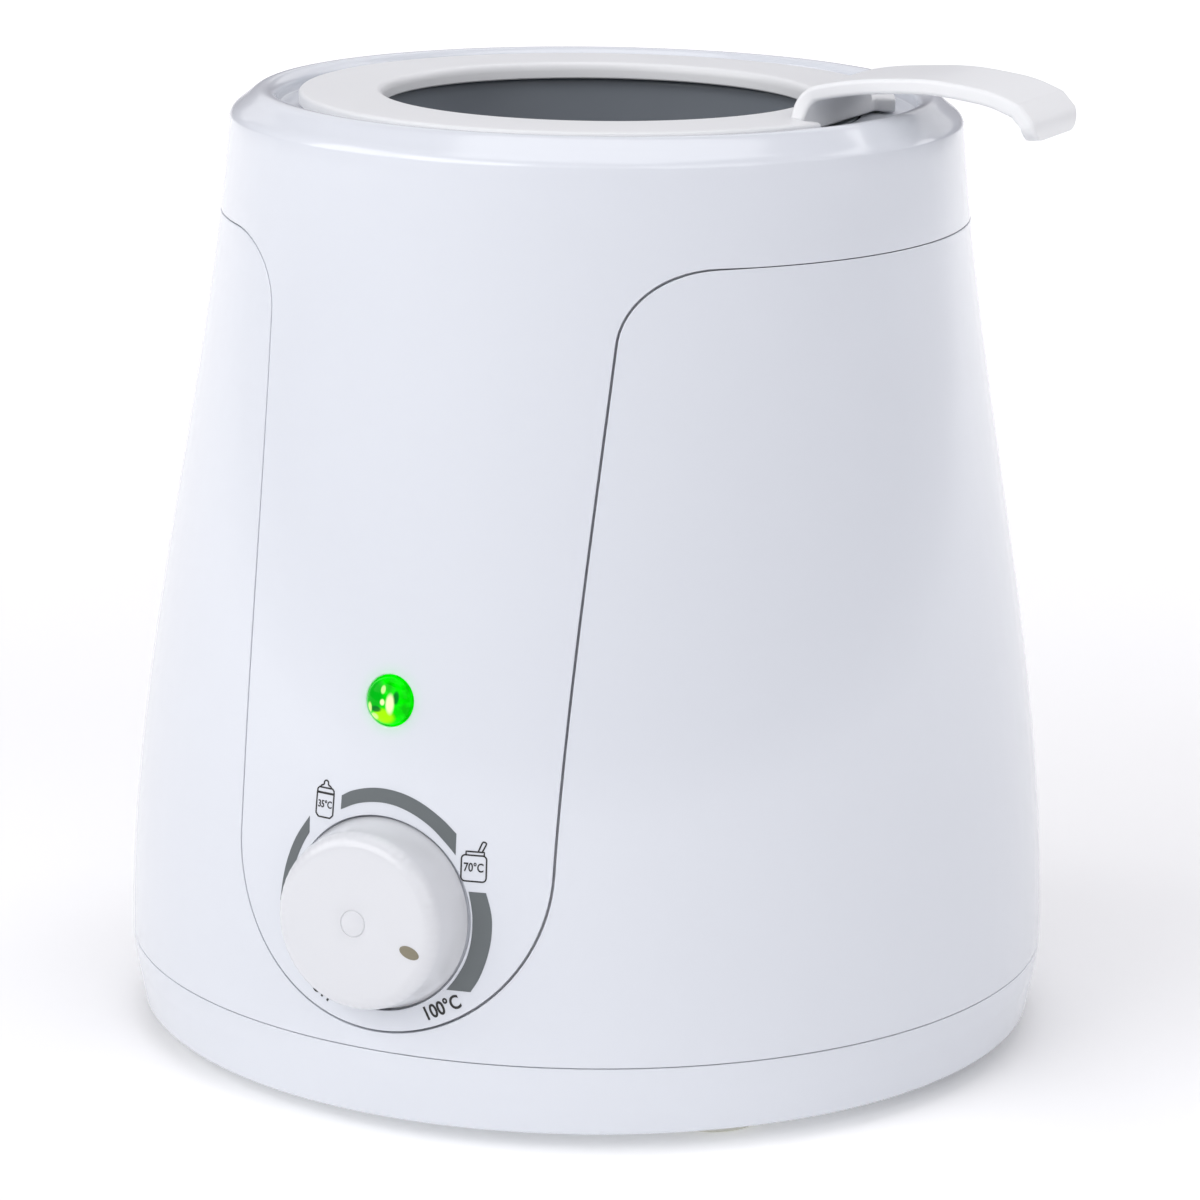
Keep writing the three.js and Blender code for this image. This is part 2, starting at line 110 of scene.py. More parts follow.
# front view of the tongue panel: a round end, spreading sides and swept corners into the band joint
FOOT_Z = 17.9
CENTRE_Z = 44.4
LOW_HALF = 26.55
TOP_HALF = 28.9
SWEEP_Z = 122.0
SWEEP_X = 41.0

KNOB_Z = 36.05
KNOB_TILT = math.radians(4.5)
KNOB_R = 14.75
KNOB_GAP = 0.28
SEAT_DEPTH = 1.7
SEAT_EDGE = 0.12
SEAT_PAD_R = 18
SPINDLE_HOLE_R = 3.9
POINTER_ANGLE = 108  # clockwise from straight up, as in the photo
POINTER_R = 10.0
FLUTES = 60
FLUTE_DEPTH = 0.06

LED_Z = 68.4
LED_TILT = math.radians(8.8)
LED_R = 3.65
LED_GAP = 0.3
LED_EDGE = 0.25

PRINT_RISE = 0.05
PRINT_SINK = 0.1
FINE_LINE = 0.23
HEAVY_LINE = 0.32
FIGURE_WIDTH = 0.82  # the dial's figures against the typeface's own width

CORD_Z = (BUSH_LOW.z + BUSH_HIGH.z) / 2
BUSH_NECK_R = 4.9

POST_FOOT_Z = 8.5
POST_R = 4.2
BRACKET_POST_R = 3.6
PILOT_R = 1.8
PILOT_DEPTH = 11.5
BOARD_POST_X = 7.4
VENT_XS = [-20, -12, -4, 4, 12, 20]

ROUND = 192
EDGE = 0.15
ANGLE_SCALE = 66.0  # millimetres to a radian where the housing's wall is laid flat

# ---- housing outline ----


def body_radius(z):
    t = np.maximum(0.0, (np.asarray(z, float) - BASE_JOINT_Z) / (SHOULDER_Z - BASE_JOINT_Z))
    return BODY_R - t * t * (TAPER - TAPER_EASE * t)


def body_slope(z):
    span = SHOULDER_Z - BASE_JOINT_Z
    t = np.maximum(0.0, (np.asarray(z, float) - BASE_JOINT_Z) / span)
    return -(2 * TAPER * t - 3 * TAPER_EASE * t * t) / span


def on_body(angle, z, out=0.0):
    """Points on the housing, or that far outside it, and the directions that stand square to it."""
    angle, z = np.broadcast_arrays(np.asarray(angle, float), np.asarray(z, float))
    normal = np.stack([np.sin(angle), -np.cos(angle), -body_slope(z)], -1)
    normal /= np.linalg.norm(normal, axis=-1, keepdims=True)
    radius = body_radius(z)
    point = np.stack([radius * np.sin(angle), -radius * np.cos(angle), z], -1)
    return point + normal * np.asarray(out, float)[..., None], normal


def polar(points):
    """The angle round the housing and the height of points."""
    points = np.asarray(points, float)
    return np.arctan2(points[..., 0], -points[..., 1]), points[..., 2]


# ---- mesh building ----


class Shape:
    """Faces of one piece, gathered in millimetres. Corners that meet are joined when it becomes an object."""

    def __init__(self):
        self.points = []
        self.faces = []

    def add(self, points):
        start = len(self.points)
        self.points.extend(np.asarray(points, float).reshape(-1, 3).tolist())
        return start

    def triangles(self, points, corners, flip=False):
        start = self.add(points)
        order = (0, 2, 1) if flip else (0, 1, 2)
        self.faces.extend([[start + int(t[k]) for k in order] for t in corners])

    def rows(self, rows, closed=False, loop=False):
        """Quads between rows of points; closed joins each row's ends, loop joins the last to the first."""
        rows = [np.asarray(r, float) for r in rows]
        count = len(rows[0])
        starts = [self.add(r) for r in rows]
        pairs = list(zip(starts[:-1], starts[1:]))
        if loop:
            pairs.append((starts[-1], starts[0]))
        steps = count if closed else count - 1
        for a, b in pairs:
            for i in range(steps):
                j = (i + 1) % count
                self.faces.append([a + i, a + j, b + j, b + i])

    def object(self, name, finish, body, replaces=(), sharp=32.0, merge=0.004):
        mesh = bpy.data.meshes.new(name)
        mesh.from_pydata([tuple(MM * c for c in p) for p in self.points], [], self.faces)
        work = bmesh.new()
        work.from_mesh(mesh)
        bmesh.ops.remove_doubles(work, verts=work.verts, dist=merge * MM)
        bmesh.ops.dissolve_degenerate(work, edges=work.edges, dist=1e-8)
        bmesh.ops.recalc_face_normals(work, faces=work.faces)
        work.to_mesh(mesh)
        work.free()
        mesh.validate()
        mesh.shade_smooth()
        mesh.set_sharp_from_angle(angle=math.radians(sharp))
        mesh.materials.append(finish)
        piece = bpy.data.objects.new(name, mesh)
        bpy.context.scene.collection.objects.link(piece)
        even = piece.modifiers.new("even_shading", "WEIGHTED_NORMAL")
        even.keep_sharp = True
        even.weight = 80
        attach(piece, body)
        if replaces:
            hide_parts(*replaces)
        return piece


def arc(centre, radius, start, end, steps):
    """Points on an arc in a plane, from one angle in degrees to another."""
    angles = np.radians(np.linspace(start, end, steps + 1))
    return np.stack([centre[0] + radius * np.cos(angles), centre[1] + radius * np.sin(angles)], -1)


def circle(x, y, radius, steps):
    return arc((x, y), radius, 0, 360, steps)[:-1]


def disc(radius, sides):
    """A circle about the middle, begun at the back like the housing's rows."""
    turn = np.linspace(-math.pi, math.pi, sides, endpoint=False)
    return np.stack([radius * np.sin(turn), -radius * np.cos(turn)], -1)


def at_height(points, z):
    """Flat points given that height."""
    return np.column_stack([points, np.full(len(points), z)])


def rounded(corners, steps=5):
    """A closed outline from (x, y, radius) corners, each turned by an arc of that radius."""
    points = []
    count = len(corners)
    for i, (x, y, radius) in enumerate(corners):
        here = np.array([x, y], float)
        before = np.array(corners[i - 1][:2], float) - here
        after = np.array(corners[(i + 1) % count][:2], float) - here
        a, b = np.linalg.norm(before), np.linalg.norm(after)
        if radius <= 0 or min(a, b) < 1e-9:
            points.append(here)
            continue
        before, after = before / a, after / b
        half = math.acos(float(np.clip(before @ after, -1, 1))) / 2
        if half > math.pi / 2 - 0.02:
            points.append(here)
            continue
        reach = min(radius / math.tan(half), 0.49 * a, 0.49 * b)
        middle = here + (before + after) / np.linalg.norm(before + after) * reach / math.cos(half)
        first, last = here + before * reach, here + after * reach
        size = np.linalg.norm(first - middle)
        for k in range(steps + 1):
            t = k / steps
            sweep = math.pi - 2 * half
            u = (first - middle) / size
            v = (last - middle) / size
            w = (math.sin((1 - t) * sweep) * u + math.sin(t * sweep) * v) / math.sin(sweep)
            points.append(middle + size * w)
    return np.array(points)


def smooth_through(knots, steps):
    """Evenly spaced points on a smooth curve through the knots."""
    knots = np.asarray(knots, float)
    ends = np.vstack([2 * knots[0] - knots[1], knots, 2 * knots[-1] - knots[-2]])
    dense = []
    for i in range(len(knots) - 1):
        p0, p1, p2, p3 = ends[i : i + 4]
        for t in np.linspace(0, 1, 24, endpoint=False):
            dense.append(
                0.5 * (2 * p1 + (p2 - p0) * t + (2 * p0 - 5 * p1 + 4 * p2 - p3) * t**2
                       + (3 * p1 - p0 - 3 * p2 + p3) * t**3)
            )
    dense.append(knots[-1])
    return spaced(np.array(dense), steps)


def spaced(points, steps):
    """The same open line with evenly spaced points."""
    along = np.concatenate([[0], np.cumsum(np.linalg.norm(np.diff(points, axis=0), axis=1))])
    want = np.linspace(0, along[-1], steps + 1)
    return np.stack([np.interp(want, along, points[:, k]) for k in range(points.shape[1])], -1)


def turned(shape, profile, sides=ROUND, closed=True, ripple=None, frame_matrix=None):
    """A profile of (radius, height) pairs turned about Z; ripple(angle, index) adds to the radius."""
    angles = np.linspace(-math.pi, math.pi, sides, endpoint=False)
    rows = []
    for i, (r, z) in enumerate(profile):
        radius = np.full(sides, float(r))
        if ripple is not None and r > 0:
            radius = radius + ripple(angles, i)
        flat = np.stack([radius * np.sin(angles), -radius * np.cos(angles)], -1)
        rows.append(at_height(flat, float(z)))
    if frame_matrix is not None:
        rows = [moved(r, frame_matrix) for r in rows]
    on_axis = profile[0][0] < 1e-6 and profile[-1][0] < 1e-6
    shape.rows(rows, closed=True, loop=closed and not on_axis)


def moved(points, matrix):
    m = np.array(matrix)
    return np.asarray(points, float) @ m[:3, :3].T + m[:3, 3]


def panel_frame(z, tilt):
    """The frame of something that stands square on the panel at that height: its own Z points outwards."""
    at = Matrix.Translation((0, -float(body_radius(z)), z))
    return at @ Matrix.Rotation(math.pi / 2 - tilt, 4, "X")


KNOB_FRAME = panel_frame(KNOB_Z, KNOB_TILT)
LED_FRAME = panel_frame(LED_Z, LED_TILT)


def inside(points, loops):
    """Which points lie inside the outlines, with holes left out."""
    hit = np.zeros(len(points), bool)
    x, y = points[:, 0], points[:, 1]
    for loop in loops:
        ax, ay = loop[:, 0], loop[:, 1]
        bx, by = np.roll(ax, -1), np.roll(ay, -1)
        for x0, y0, x1, y1 in zip(ax, ay, bx, by):
            if y0 == y1:
                continue
            crosses = (y0 > y) != (y1 > y)
            hit ^= crosses & (x < (x1 - x0) * (y - y0) / (y1 - y0) + x0)
    return hit


def fill(loops, spacing):
    """Points and triangles over a flat area bounded by closed outlines, with points of its own inside."""
    loops = [np.asarray(loop, float) for loop in loops]
    border = np.vstack(loops)
    low, high = border.min(0), border.max(0)
    rows = np.arange(low[1] + spacing / 2, high[1], spacing * 0.87)
    grid = []
    for k, y in enumerate(rows):
        xs = np.arange(low[0] + spacing * (0.5 + 0.5 * (k % 2)), high[0], spacing)
        grid.append(np.stack([xs, np.full(len(xs), y)], -1))
    grid = np.vstack([np.zeros((0, 2)), *grid])
    grid = grid[inside(grid, loops)]
    tree = kdtree.KDTree(sum(len(loop) * 4 for loop in loops))
    index = 0
    for loop in loops:
        nxt = np.roll(loop, -1, axis=0)
        for t in (0, 0.25, 0.5, 0.75):
            for p in loop * (1 - t) + nxt * t:
                tree.insert((p[0], p[1], 0), index)
                index += 1
    tree.balance()
    grid = [p for p in grid if tree.find((p[0], p[1], 0))[2] > 0.6 * spacing]
    points = [Vector(p) for loop in loops for p in loop] + [Vector(p) for p in grid]
    edges = []
    start = 0
    for loop in loops:
        edges += [(start + i, start + (i + 1) % len(loop)) for i in range(len(loop))]
        start += len(loop)
    verts, _, faces, *_ = geometry.delaunay_2d_cdt(points, edges, [], 0, 1e-5)
    verts = np.array([tuple(v) for v in verts])
    faces = np.array([f for f in faces if len(f) == 3])
    keep = inside(verts[faces].mean(1), loops)
    return verts, faces[keep]


def directions(points):
    """The way a line runs at each of its points; a line whose ends meet is taken as closed."""
    points = np.asarray(points, float)
    if np.linalg.norm(points[0] - points[-1]) < 1e-3:
        ring = points[:-1]
        run = np.roll(ring, -1, 0) - np.roll(ring, 1, 0)
        run = np.vstack([run, run[:1]])
    else:
        run = np.gradient(points, axis=0)
    return run / np.linalg.norm(run, axis=1, keepdims=True)


def edge_rows(line, radius=EDGE, steps=4):
    """Rows that turn the housing's surface over at an open edge. The material lies to the line's left."""
    points, normals = on_body(line[:, 0], line[:, 1])
    away = np.cross(directions(points), normals)
    away /= np.linalg.norm(away, axis=1, keepdims=True)
    rows = []
    for a in np.linspace(0, math.pi / 2, steps + 1):
        rows.append(points + radius * (math.sin(a) * away - (1 - math.cos(a)) * normals))
    return rows


def under_body(line, depth):
    return on_body(line[:, 0], line[:, 1], np.full(len(line), -depth))[0]


def edge_wall(line, reach):
    """The wall's edge: rounded over, then a tongue under the next part, or a groove for negative reach."""
    rows = edge_rows(line)
    if reach:
        lip = shifted(line, -EDGE)
        end = shifted(line, -EDGE - reach)
        top, low = (TONGUE_TOP, TONGUE_LOW) if reach > 0 else (GROOVE_TOP, GROOVE_LOW)
        rows += [under_body(lip, top), under_body(end, top), under_body(end, low), under_body(lip, low)]
    return rows + [under_body(line, WALL)]


def body_patch(shape, lines, holes, spacing, edges):
    """A wall of the housing: its outside, its inside, and its edges along lines given with their reach."""
    outline = np.vstack([line[:-1] for line in lines])
    loops = [loop * [ANGLE_SCALE, 1] for loop in [outline] + [hole[:-1] for hole in holes]]
    verts, faces = fill(loops, spacing)
    angle, z = verts[:, 0] / ANGLE_SCALE, verts[:, 1]
    shape.triangles(on_body(angle, z)[0], faces)
    shape.triangles(on_body(angle, z, np.full(len(z), -WALL))[0], faces, flip=True)
    for line, reach in edges:
        shape.rows(edge_wall(line, reach))


# ---- the joint between the top housing and the side shell ----


def front_line(x, z):
    """A line given in the front view, as angle and height."""
    x, z = np.asarray(x, float), np.asarray(z, float)
    return np.stack([np.arcsin(x / body_radius(z)), z], -1)


def joint_line():
    """The middle of the joint, from the back round the left, down round the panel and back again."""
    half_gap = SEAM / 2
    a = np.radians(np.linspace(0, 90, 27))
    low = front_line(
        (LOW_HALF + half_gap) * np.sin(a), CENTRE_Z - (CENTRE_Z - FOOT_Z + half_gap) * np.cos(a)
    )
    t = np.linspace(0, 1, 36)[1:]
    side = front_line(
        LOW_HALF + half_gap + (TOP_HALF - LOW_HALF) * t**1.4, CENTRE_Z + (SWEEP_Z - CENTRE_Z) * t
    )
    a = np.radians(np.linspace(0, 90, 15)[1:])
    sweep = front_line(
        SWEEP_X - (SWEEP_X - TOP_HALF - half_gap) * np.cos(a),
        SWEEP_Z + (BAND_Z + half_gap - SWEEP_Z) * np.sin(a),
    )
    last = sweep[-1]
    band_angles = np.linspace(last[0], math.pi, 76)[1:]
    band = np.stack([band_angles, np.full(75, last[1])], -1)
    right = np.vstack([low, side, sweep, band])
    left = right[:0:-1] * [-1, 1]
    return np.vstack([left, right])


def shifted(line, distance):
    """The line moved sideways over the housing; to its left where the distance is positive."""
    points, normals = on_body(line[:, 0], line[:, 1])
    left = np.cross(normals, directions(points))
    left /= np.linalg.norm(left, axis=1, keepdims=True)
    angle, z = polar(points + np.broadcast_to(distance, len(line))[:, None] * left)
    moved_line = np.stack([angle, z], -1)
    if abs(abs(line[0, 0]) - math.pi) < 1e-6:
        moved_line[[0, -1], 0] = line[[0, -1], 0]
        moved_line[-1, 1] = moved_line[0, 1]
    return moved_line


def level(z, start, end, steps):
    return np.stack([np.linspace(start, end, steps + 1), np.full(steps + 1, z)], -1)


def upright(angle, low, high, steps):
    return np.stack([np.full(steps + 1, angle), np.linspace(low, high, steps + 1)], -1)


def round_cut(matrix, radius, steps):
    """Where a round hole in that frame comes through the housing, clockwise from outside."""
    m = np.array(matrix)
    turn = np.linspace(0, -2 * math.pi, steps + 1)
    depth = np.zeros(steps + 1)
    for _ in range(12):
        local = np.stack([radius * np.cos(turn), radius * np.sin(turn), depth], -1)
        world = moved(local, m)
        gap = np.hypot(world[:, 0], world[:, 1]) - body_radius(world[:, 2])
        depth -= gap
    angle, z = polar(world)
    return np.stack([angle, z], -1)


def seat_rows(matrix, radii_depths, steps):
    turn = np.linspace(0, -2 * math.pi, steps + 1)
    rows = []
    for radius, depth in radii_depths:
        local = np.stack([radius * np.cos(turn), radius * np.sin(turn), np.full(steps + 1, depth)], -1)
        rows.append(moved(local, matrix))
    return rows


# ---- finishes ----

# millimetres: the grain's height, and how high over the lens's plane a spot lies and how deep it is
GRAIN_DEPTH = 0.05
GLINT_RISE = 1.5
GLINT_DEPTH = 3.0

# sockets of a mix node that mixes colours
MIX_SHARE, MIX_FIRST, MIX_SECOND, MIX_RESULT = 0, 6, 7, 2


def new_finish(name):
    finish = bpy.data.materials.new(name)
    finish.use_nodes = True
    return finish, finish.node_tree, finish.node_tree.nodes["Principled BSDF"]


def noise_from(tree, where, scale, detail):
    """Noise that is fixed to the piece."""
    noise = tree.nodes.new("ShaderNodeTexNoise")
    noise.inputs["Scale"].default_value = scale
    noise.inputs["Detail"].default_value = detail
    tree.links.new(where.outputs["Object"], noise.inputs["Vector"])
    return noise.outputs["Fac"]


def ramp_from(tree, value, low_at, low_color, high_at, high_color):
    """A colour that runs from one to the other as the value rises between the two places."""
    ramp = tree.nodes.new("ShaderNodeValToRGB")
    low, high = ramp.color_ramp.elements
    low.position = low_at
    high.position = high_at
    low.color = (*low_color, 1)
    high.color = (*high_color, 1)
    tree.links.new(value, ramp.inputs["Fac"])
    return ramp.outputs["Color"]


def spread_from(tree, value, low, high, start=0.0, end=1.0, smooth=False):
    """The value's stretch from start to end, spread over low to high."""
    spread = tree.nodes.new("ShaderNodeMapRange")
    if smooth:
        spread.interpolation_type = "SMOOTHSTEP"
    spread.inputs["From Min"].default_value = start
    spread.inputs["From Max"].default_value = end
    spread.inputs["To Min"].default_value = low
    spread.inputs["To Max"].default_value = high
    tree.links.new(value, spread.inputs["Value"])
    return spread.outputs["Result"]


def mottled(tree, shader, color, spread, scale):
    """A base colour that drifts gently over the piece."""
    where = tree.nodes.new("ShaderNodeTexCoord")
    noise = noise_from(tree, where, scale, 4)
    low = [c * (1 - spread) for c in color]
    high = [min(1, c * (1 + spread)) for c in color]
    tree.links.new(ramp_from(tree, noise, 0.3, low, 0.7, high), shader.inputs["Base Color"])
    return where


def roughened(tree, shader, where, low, high, scale):
    noise = noise_from(tree, where, scale, 3)
    tree.links.new(spread_from(tree, noise, low, high), shader.inputs["Roughness"])


def grained(tree, shader, where, scale, strength):
    """A fine grain in the surface, from noise."""
    bump = tree.nodes.new("ShaderNodeBump")
    bump.inputs["Strength"].default_value = strength
    bump.inputs["Distance"].default_value = GRAIN_DEPTH * MM
    tree.links.new(noise_from(tree, where, scale, 5), bump.inputs["Height"])
    tree.links.new(bump.outputs["Normal"], shader.inputs["Normal"])


def moulded(name, color, rough, spread=0.006, grain=0.02, grain_scale=900, coat=0.0):
    finish, tree, shader = new_finish(name)
    where = mottled(tree, shader, color, spread, 14)
    roughened(tree, shader, where, rough * 0.85, rough * 1.2, 60)
    grained(tree, shader, where, grain_scale, grain)
    shader.inputs["IOR"].default_value = 1.5
    shader.inputs["Coat Weight"].default_value = coat
    shader.inputs["Coat Roughness"].default_value = 0.05
    return finish


def metal(name, color, rough, scale):
    finish, tree, shader = new_finish(name)
    where = mottled(tree, shader, color, 0.05, scale)
    roughened(tree, shader, where, rough * 0.8, rough * 1.3, scale * 4)
    shader.inputs["Metallic"].default_value = 1.0
    return finish


def glint(tree, where, color, at, size, tint, strength):
    """A soft spot of another tint painted over a colour, at a place given in the lens's own plane: the lens's
    painted highlights and dark patches, and the painted glow round it.
    """
    place = tree.nodes.new("ShaderNodeMapping")
    place.vector_type = "TEXTURE"
    place.inputs["Location"].default_value = LED_FRAME @ Vector((*at, GLINT_RISE)) * MM
    place.inputs["Rotation"].default_value = LED_FRAME.to_euler()
    place.inputs["Scale"].default_value = Vector((*size, GLINT_DEPTH)) * MM
    ball = tree.nodes.new("ShaderNodeTexGradient")
    ball.gradient_type = "SPHERICAL"
    tree.links.new(where.outputs["Object"], place.inputs["Vector"])
    tree.links.new(place.outputs["Vector"], ball.inputs["Vector"])
    mix = tree.nodes.new("ShaderNodeMix")
    mix.data_type = "RGBA"
    mix.inputs[MIX_SECOND].default_value = (*tint, 1)
    share = spread_from(tree, ball.outputs["Fac"], 0, strength, end=0.5, smooth=True)
    tree.links.new(share, mix.inputs[MIX_SHARE])
    tree.links.new(color, mix.inputs[MIX_FIRST])
    return mix.outputs[MIX_RESULT]


def lens_finish():
    finish, tree, shader = new_finish("lens_green_lit")
    where = tree.nodes.new("ShaderNodeTexCoord")
    color = ramp_from(tree, noise_from(tree, where, 420, 3), 0.35, (0.0, 0.5, 0.0), 0.55, (0.0, 0.9, 0.0))
    # painted highlights, a painted bezel reflection and painted darker patches laid over the lens's own green
    for at, size, tint, strength in LENS_PAINTED_SPOTS:
        color = glint(tree, where, color, at, size, tint, strength)
    tree.links.new(color, shader.inputs["Emission Color"])
    shader.inputs["Base Color"].default_value = (0.0, 0.1, 0.0, 1)
    shader.inputs["Emission Strength"].default_value = 1.0
    shader.inputs["Roughness"].default_value = 0.08
    shader.inputs["Specular IOR Level"].default_value = 0.06
    return finish


# place and half size in millimetres, tint and strength of the painted highlights, the painted reflection of
# the bezel along the lower left and the painted darker patches over the lit lens
LENS_PAINTED_SPOTS = [
    ((-2.0, 0.7), (2.4, 3.2), (0.0, 0.33, 0.01), 0.85), ((-0.2, -2.3), (2.2, 1.5), (0.42, 0.95, 0.0), 1.0),
    ((-1.5, -1.3), (1.3, 0.6), (0.0, 0.07, 0.02), 0.9), ((1.75, 0.7), (0.6, 1.3), (0.0, 0.06, 0.02), 0.9),
    ((0.9, -0.3), (0.85, 1.9), (1.0, 1.0, 0.6), 1.0), ((-0.35, -0.15), (0.5, 0.6), (0.95, 1.0, 0.55), 1.0),
    ((-0.4, 1.75), (0.5, 0.8), (0.75, 1.0, 0.4), 0.9), ((-2.7, -1.2), (0.55, 1.0), (0.8, 1.0, 0.35), 0.9),
    ((-1.9, -2.5), (1.0, 0.7), (0.8, 1.0, 0.35), 0.9),
]


def painted_lens_glow(finish):
    """A painted green glow mixed into the panel's base colour round the lens, standing in for the light that
    the lit lens throws on the panel round it.
    """
    tree = finish.node_tree
    base = tree.nodes["Principled BSDF"].inputs["Base Color"]
    where = tree.nodes.new("ShaderNodeTexCoord")
    tinted = glint(tree, where, base.links[0].from_socket, (0, 0), (7.4, 7.4), (0.5, 0.74, 0.58), 0.9)
    tree.links.new(tinted, base)


WHITE = moulded("housing_gloss_white", (0.633, 0.657, 0.703), 0.16, coat=0.3)
# the housing's white gets a painted green glow round the pilot lens
painted_lens_glow(WHITE)
RING_WHITE = moulded("ring_satin_white", (0.72, 0.728, 0.738), 0.36, grain=0.10, grain_scale=1500)
KNOB_WHITE = moulded("knob_semi_gloss_white", (0.63, 0.64, 0.665), 0.2, grain=0.05, grain_scale=1300)
WELL_GREY = moulded("well_grey_coating", (0.185, 0.205, 0.23), 0.36, spread=0.12, grain=0.3, grain_scale=700)
RUBBER = moulded("foot_soft_rubber", (0.74, 0.74, 0.66), 0.45, spread=0.05, grain=0.2)
BUSH_WHITE = moulded("bush_satin_white", (0.68, 0.68, 0.69), 0.45, grain=0.1)
PRINT_GREY = moulded("print_mid_grey", (0.11, 0.125, 0.13), 0.4, spread=0.03, grain=0.1)
PRINT_DARK = moulded("print_dark_grey", (0.012, 0.012, 0.012), 0.45, spread=0.05, grain=0.1)
POINTER = moulded("pointer_beige_grey", (0.2, 0.18, 0.125), 0.45, spread=0.04, grain=0.1)
STEEL = metal("zinc_steel", (0.55, 0.55, 0.54), 0.3, 120)
ALUMINIUM = metal("cast_aluminium", (0.6, 0.61, 0.62), 0.4, 90)
CERAMIC = moulded("ceramic_cream", (0.72, 0.67, 0.56), 0.55, spread=0.04, grain=0.3)
SEAL = moulded("silicone_seal", (0.55, 0.53, 0.48), 0.5, spread=0.03, grain=0.1)
BOARD = moulded("board_green", (0.03, 0.16, 0.06), 0.45, spread=0.08, grain=0.1)
EPOXY = moulded("led_epoxy_green", (0.3, 0.75, 0.3), 0.15, spread=0.03, grain=0.02)
SLEEVE = moulded("wire_sleeve", (0.68, 0.67, 0.62), 0.5, spread=0.03, grain=0.1)
LENS = lens_finish()

for node, finish in {
    "tank_seal": SEAL, "heater_plate": ALUMINIUM, "ptc_heater": CERAMIC, "heater_bracket": STEEL,
    "bracket_screw_1": STEEL, "bracket_screw_2": STEEL, "thermal_fuse": CERAMIC, "thermostat_body": CERAMIC,
    "thermostat_bracket": STEEL, "thermostat_screw_1": STEEL, "thermostat_screw_2": STEEL, "spindle": STEEL,
    "led_body": EPOXY, "led_board": BOARD, "terminal_block": CERAMIC, "wire_supply": SLEEVE,
    "wire_heater": SLEEVE, "wire_fuse": SLEEVE, "wire_led": SLEEVE, "base_screw_1": STEEL,
    "base_screw_2": STEEL, "base_screw_3": STEEL,
}.items():
    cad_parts[node].data.materials.clear()
    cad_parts[node].data.materials.append(finish)

# ---- housing ----

JOINT = joint_line()
# the joint is finer on the panel's left than on its right, and finest along the band
PANEL_GAP = np.interp(JOINT[:, 0], [-0.3, 0.2], [PANEL_GAP_LEFT, PANEL_GAP_RIGHT])
# the angle at which the swept corner runs into the band
SWEEP_END = math.asin(SWEEP_X / float(body_radius(BAND_Z)))
BAND_SHARE = np.interp(np.abs(JOINT[:, 0]), [SWEEP_END - 0.12, SWEEP_END + 0.08], [0, 1])
HALF_GAP = (PANEL_GAP + (BAND_GAP - PANEL_GAP) * BAND_SHARE) / 2
RIM_KNOTS = [
    (float(body_radius(SHOULDER_Z)), SHOULDER_Z), (57.95, 148.9), (57.4, 149.5), (56.7, 150.05),
    (56.0, 150.6), (55.4, 151.1), (54.85, 151.55), (54.2, 152.0), (53.4, 152.3), (52.5, 152.25),
    (51.8, 151.95), (51.25, 151.5), (51.0, 151.0), (RIM_INNER_R, 150.2),
]


def screw_places(name, count):
    """Where the screws of that name stand, as (x, y)."""
    for i in range(1, count + 1):
        low, high = box_mm(f"{name}_{i}")
        yield (low.x + high.x) / 2, (low.y + high.y) / 2


def screw_post(shape, x, y, radius, foot_z):
    """A post that hangs from the rim's floor, with a pilot hole for a screw in its foot."""
    top_z = RECESS_Z - 1.5
    hole_top = foot_z + PILOT_DEPTH
    profile = [(0, top_z), (radius, top_z), (radius, foot_z)]
    profile += [(PILOT_R, foot_z), (PILOT_R, hole_top), (0, hole_top)]
    turned(shape, profile, 32, frame_matrix=Matrix.Translation((x, y, 0)))


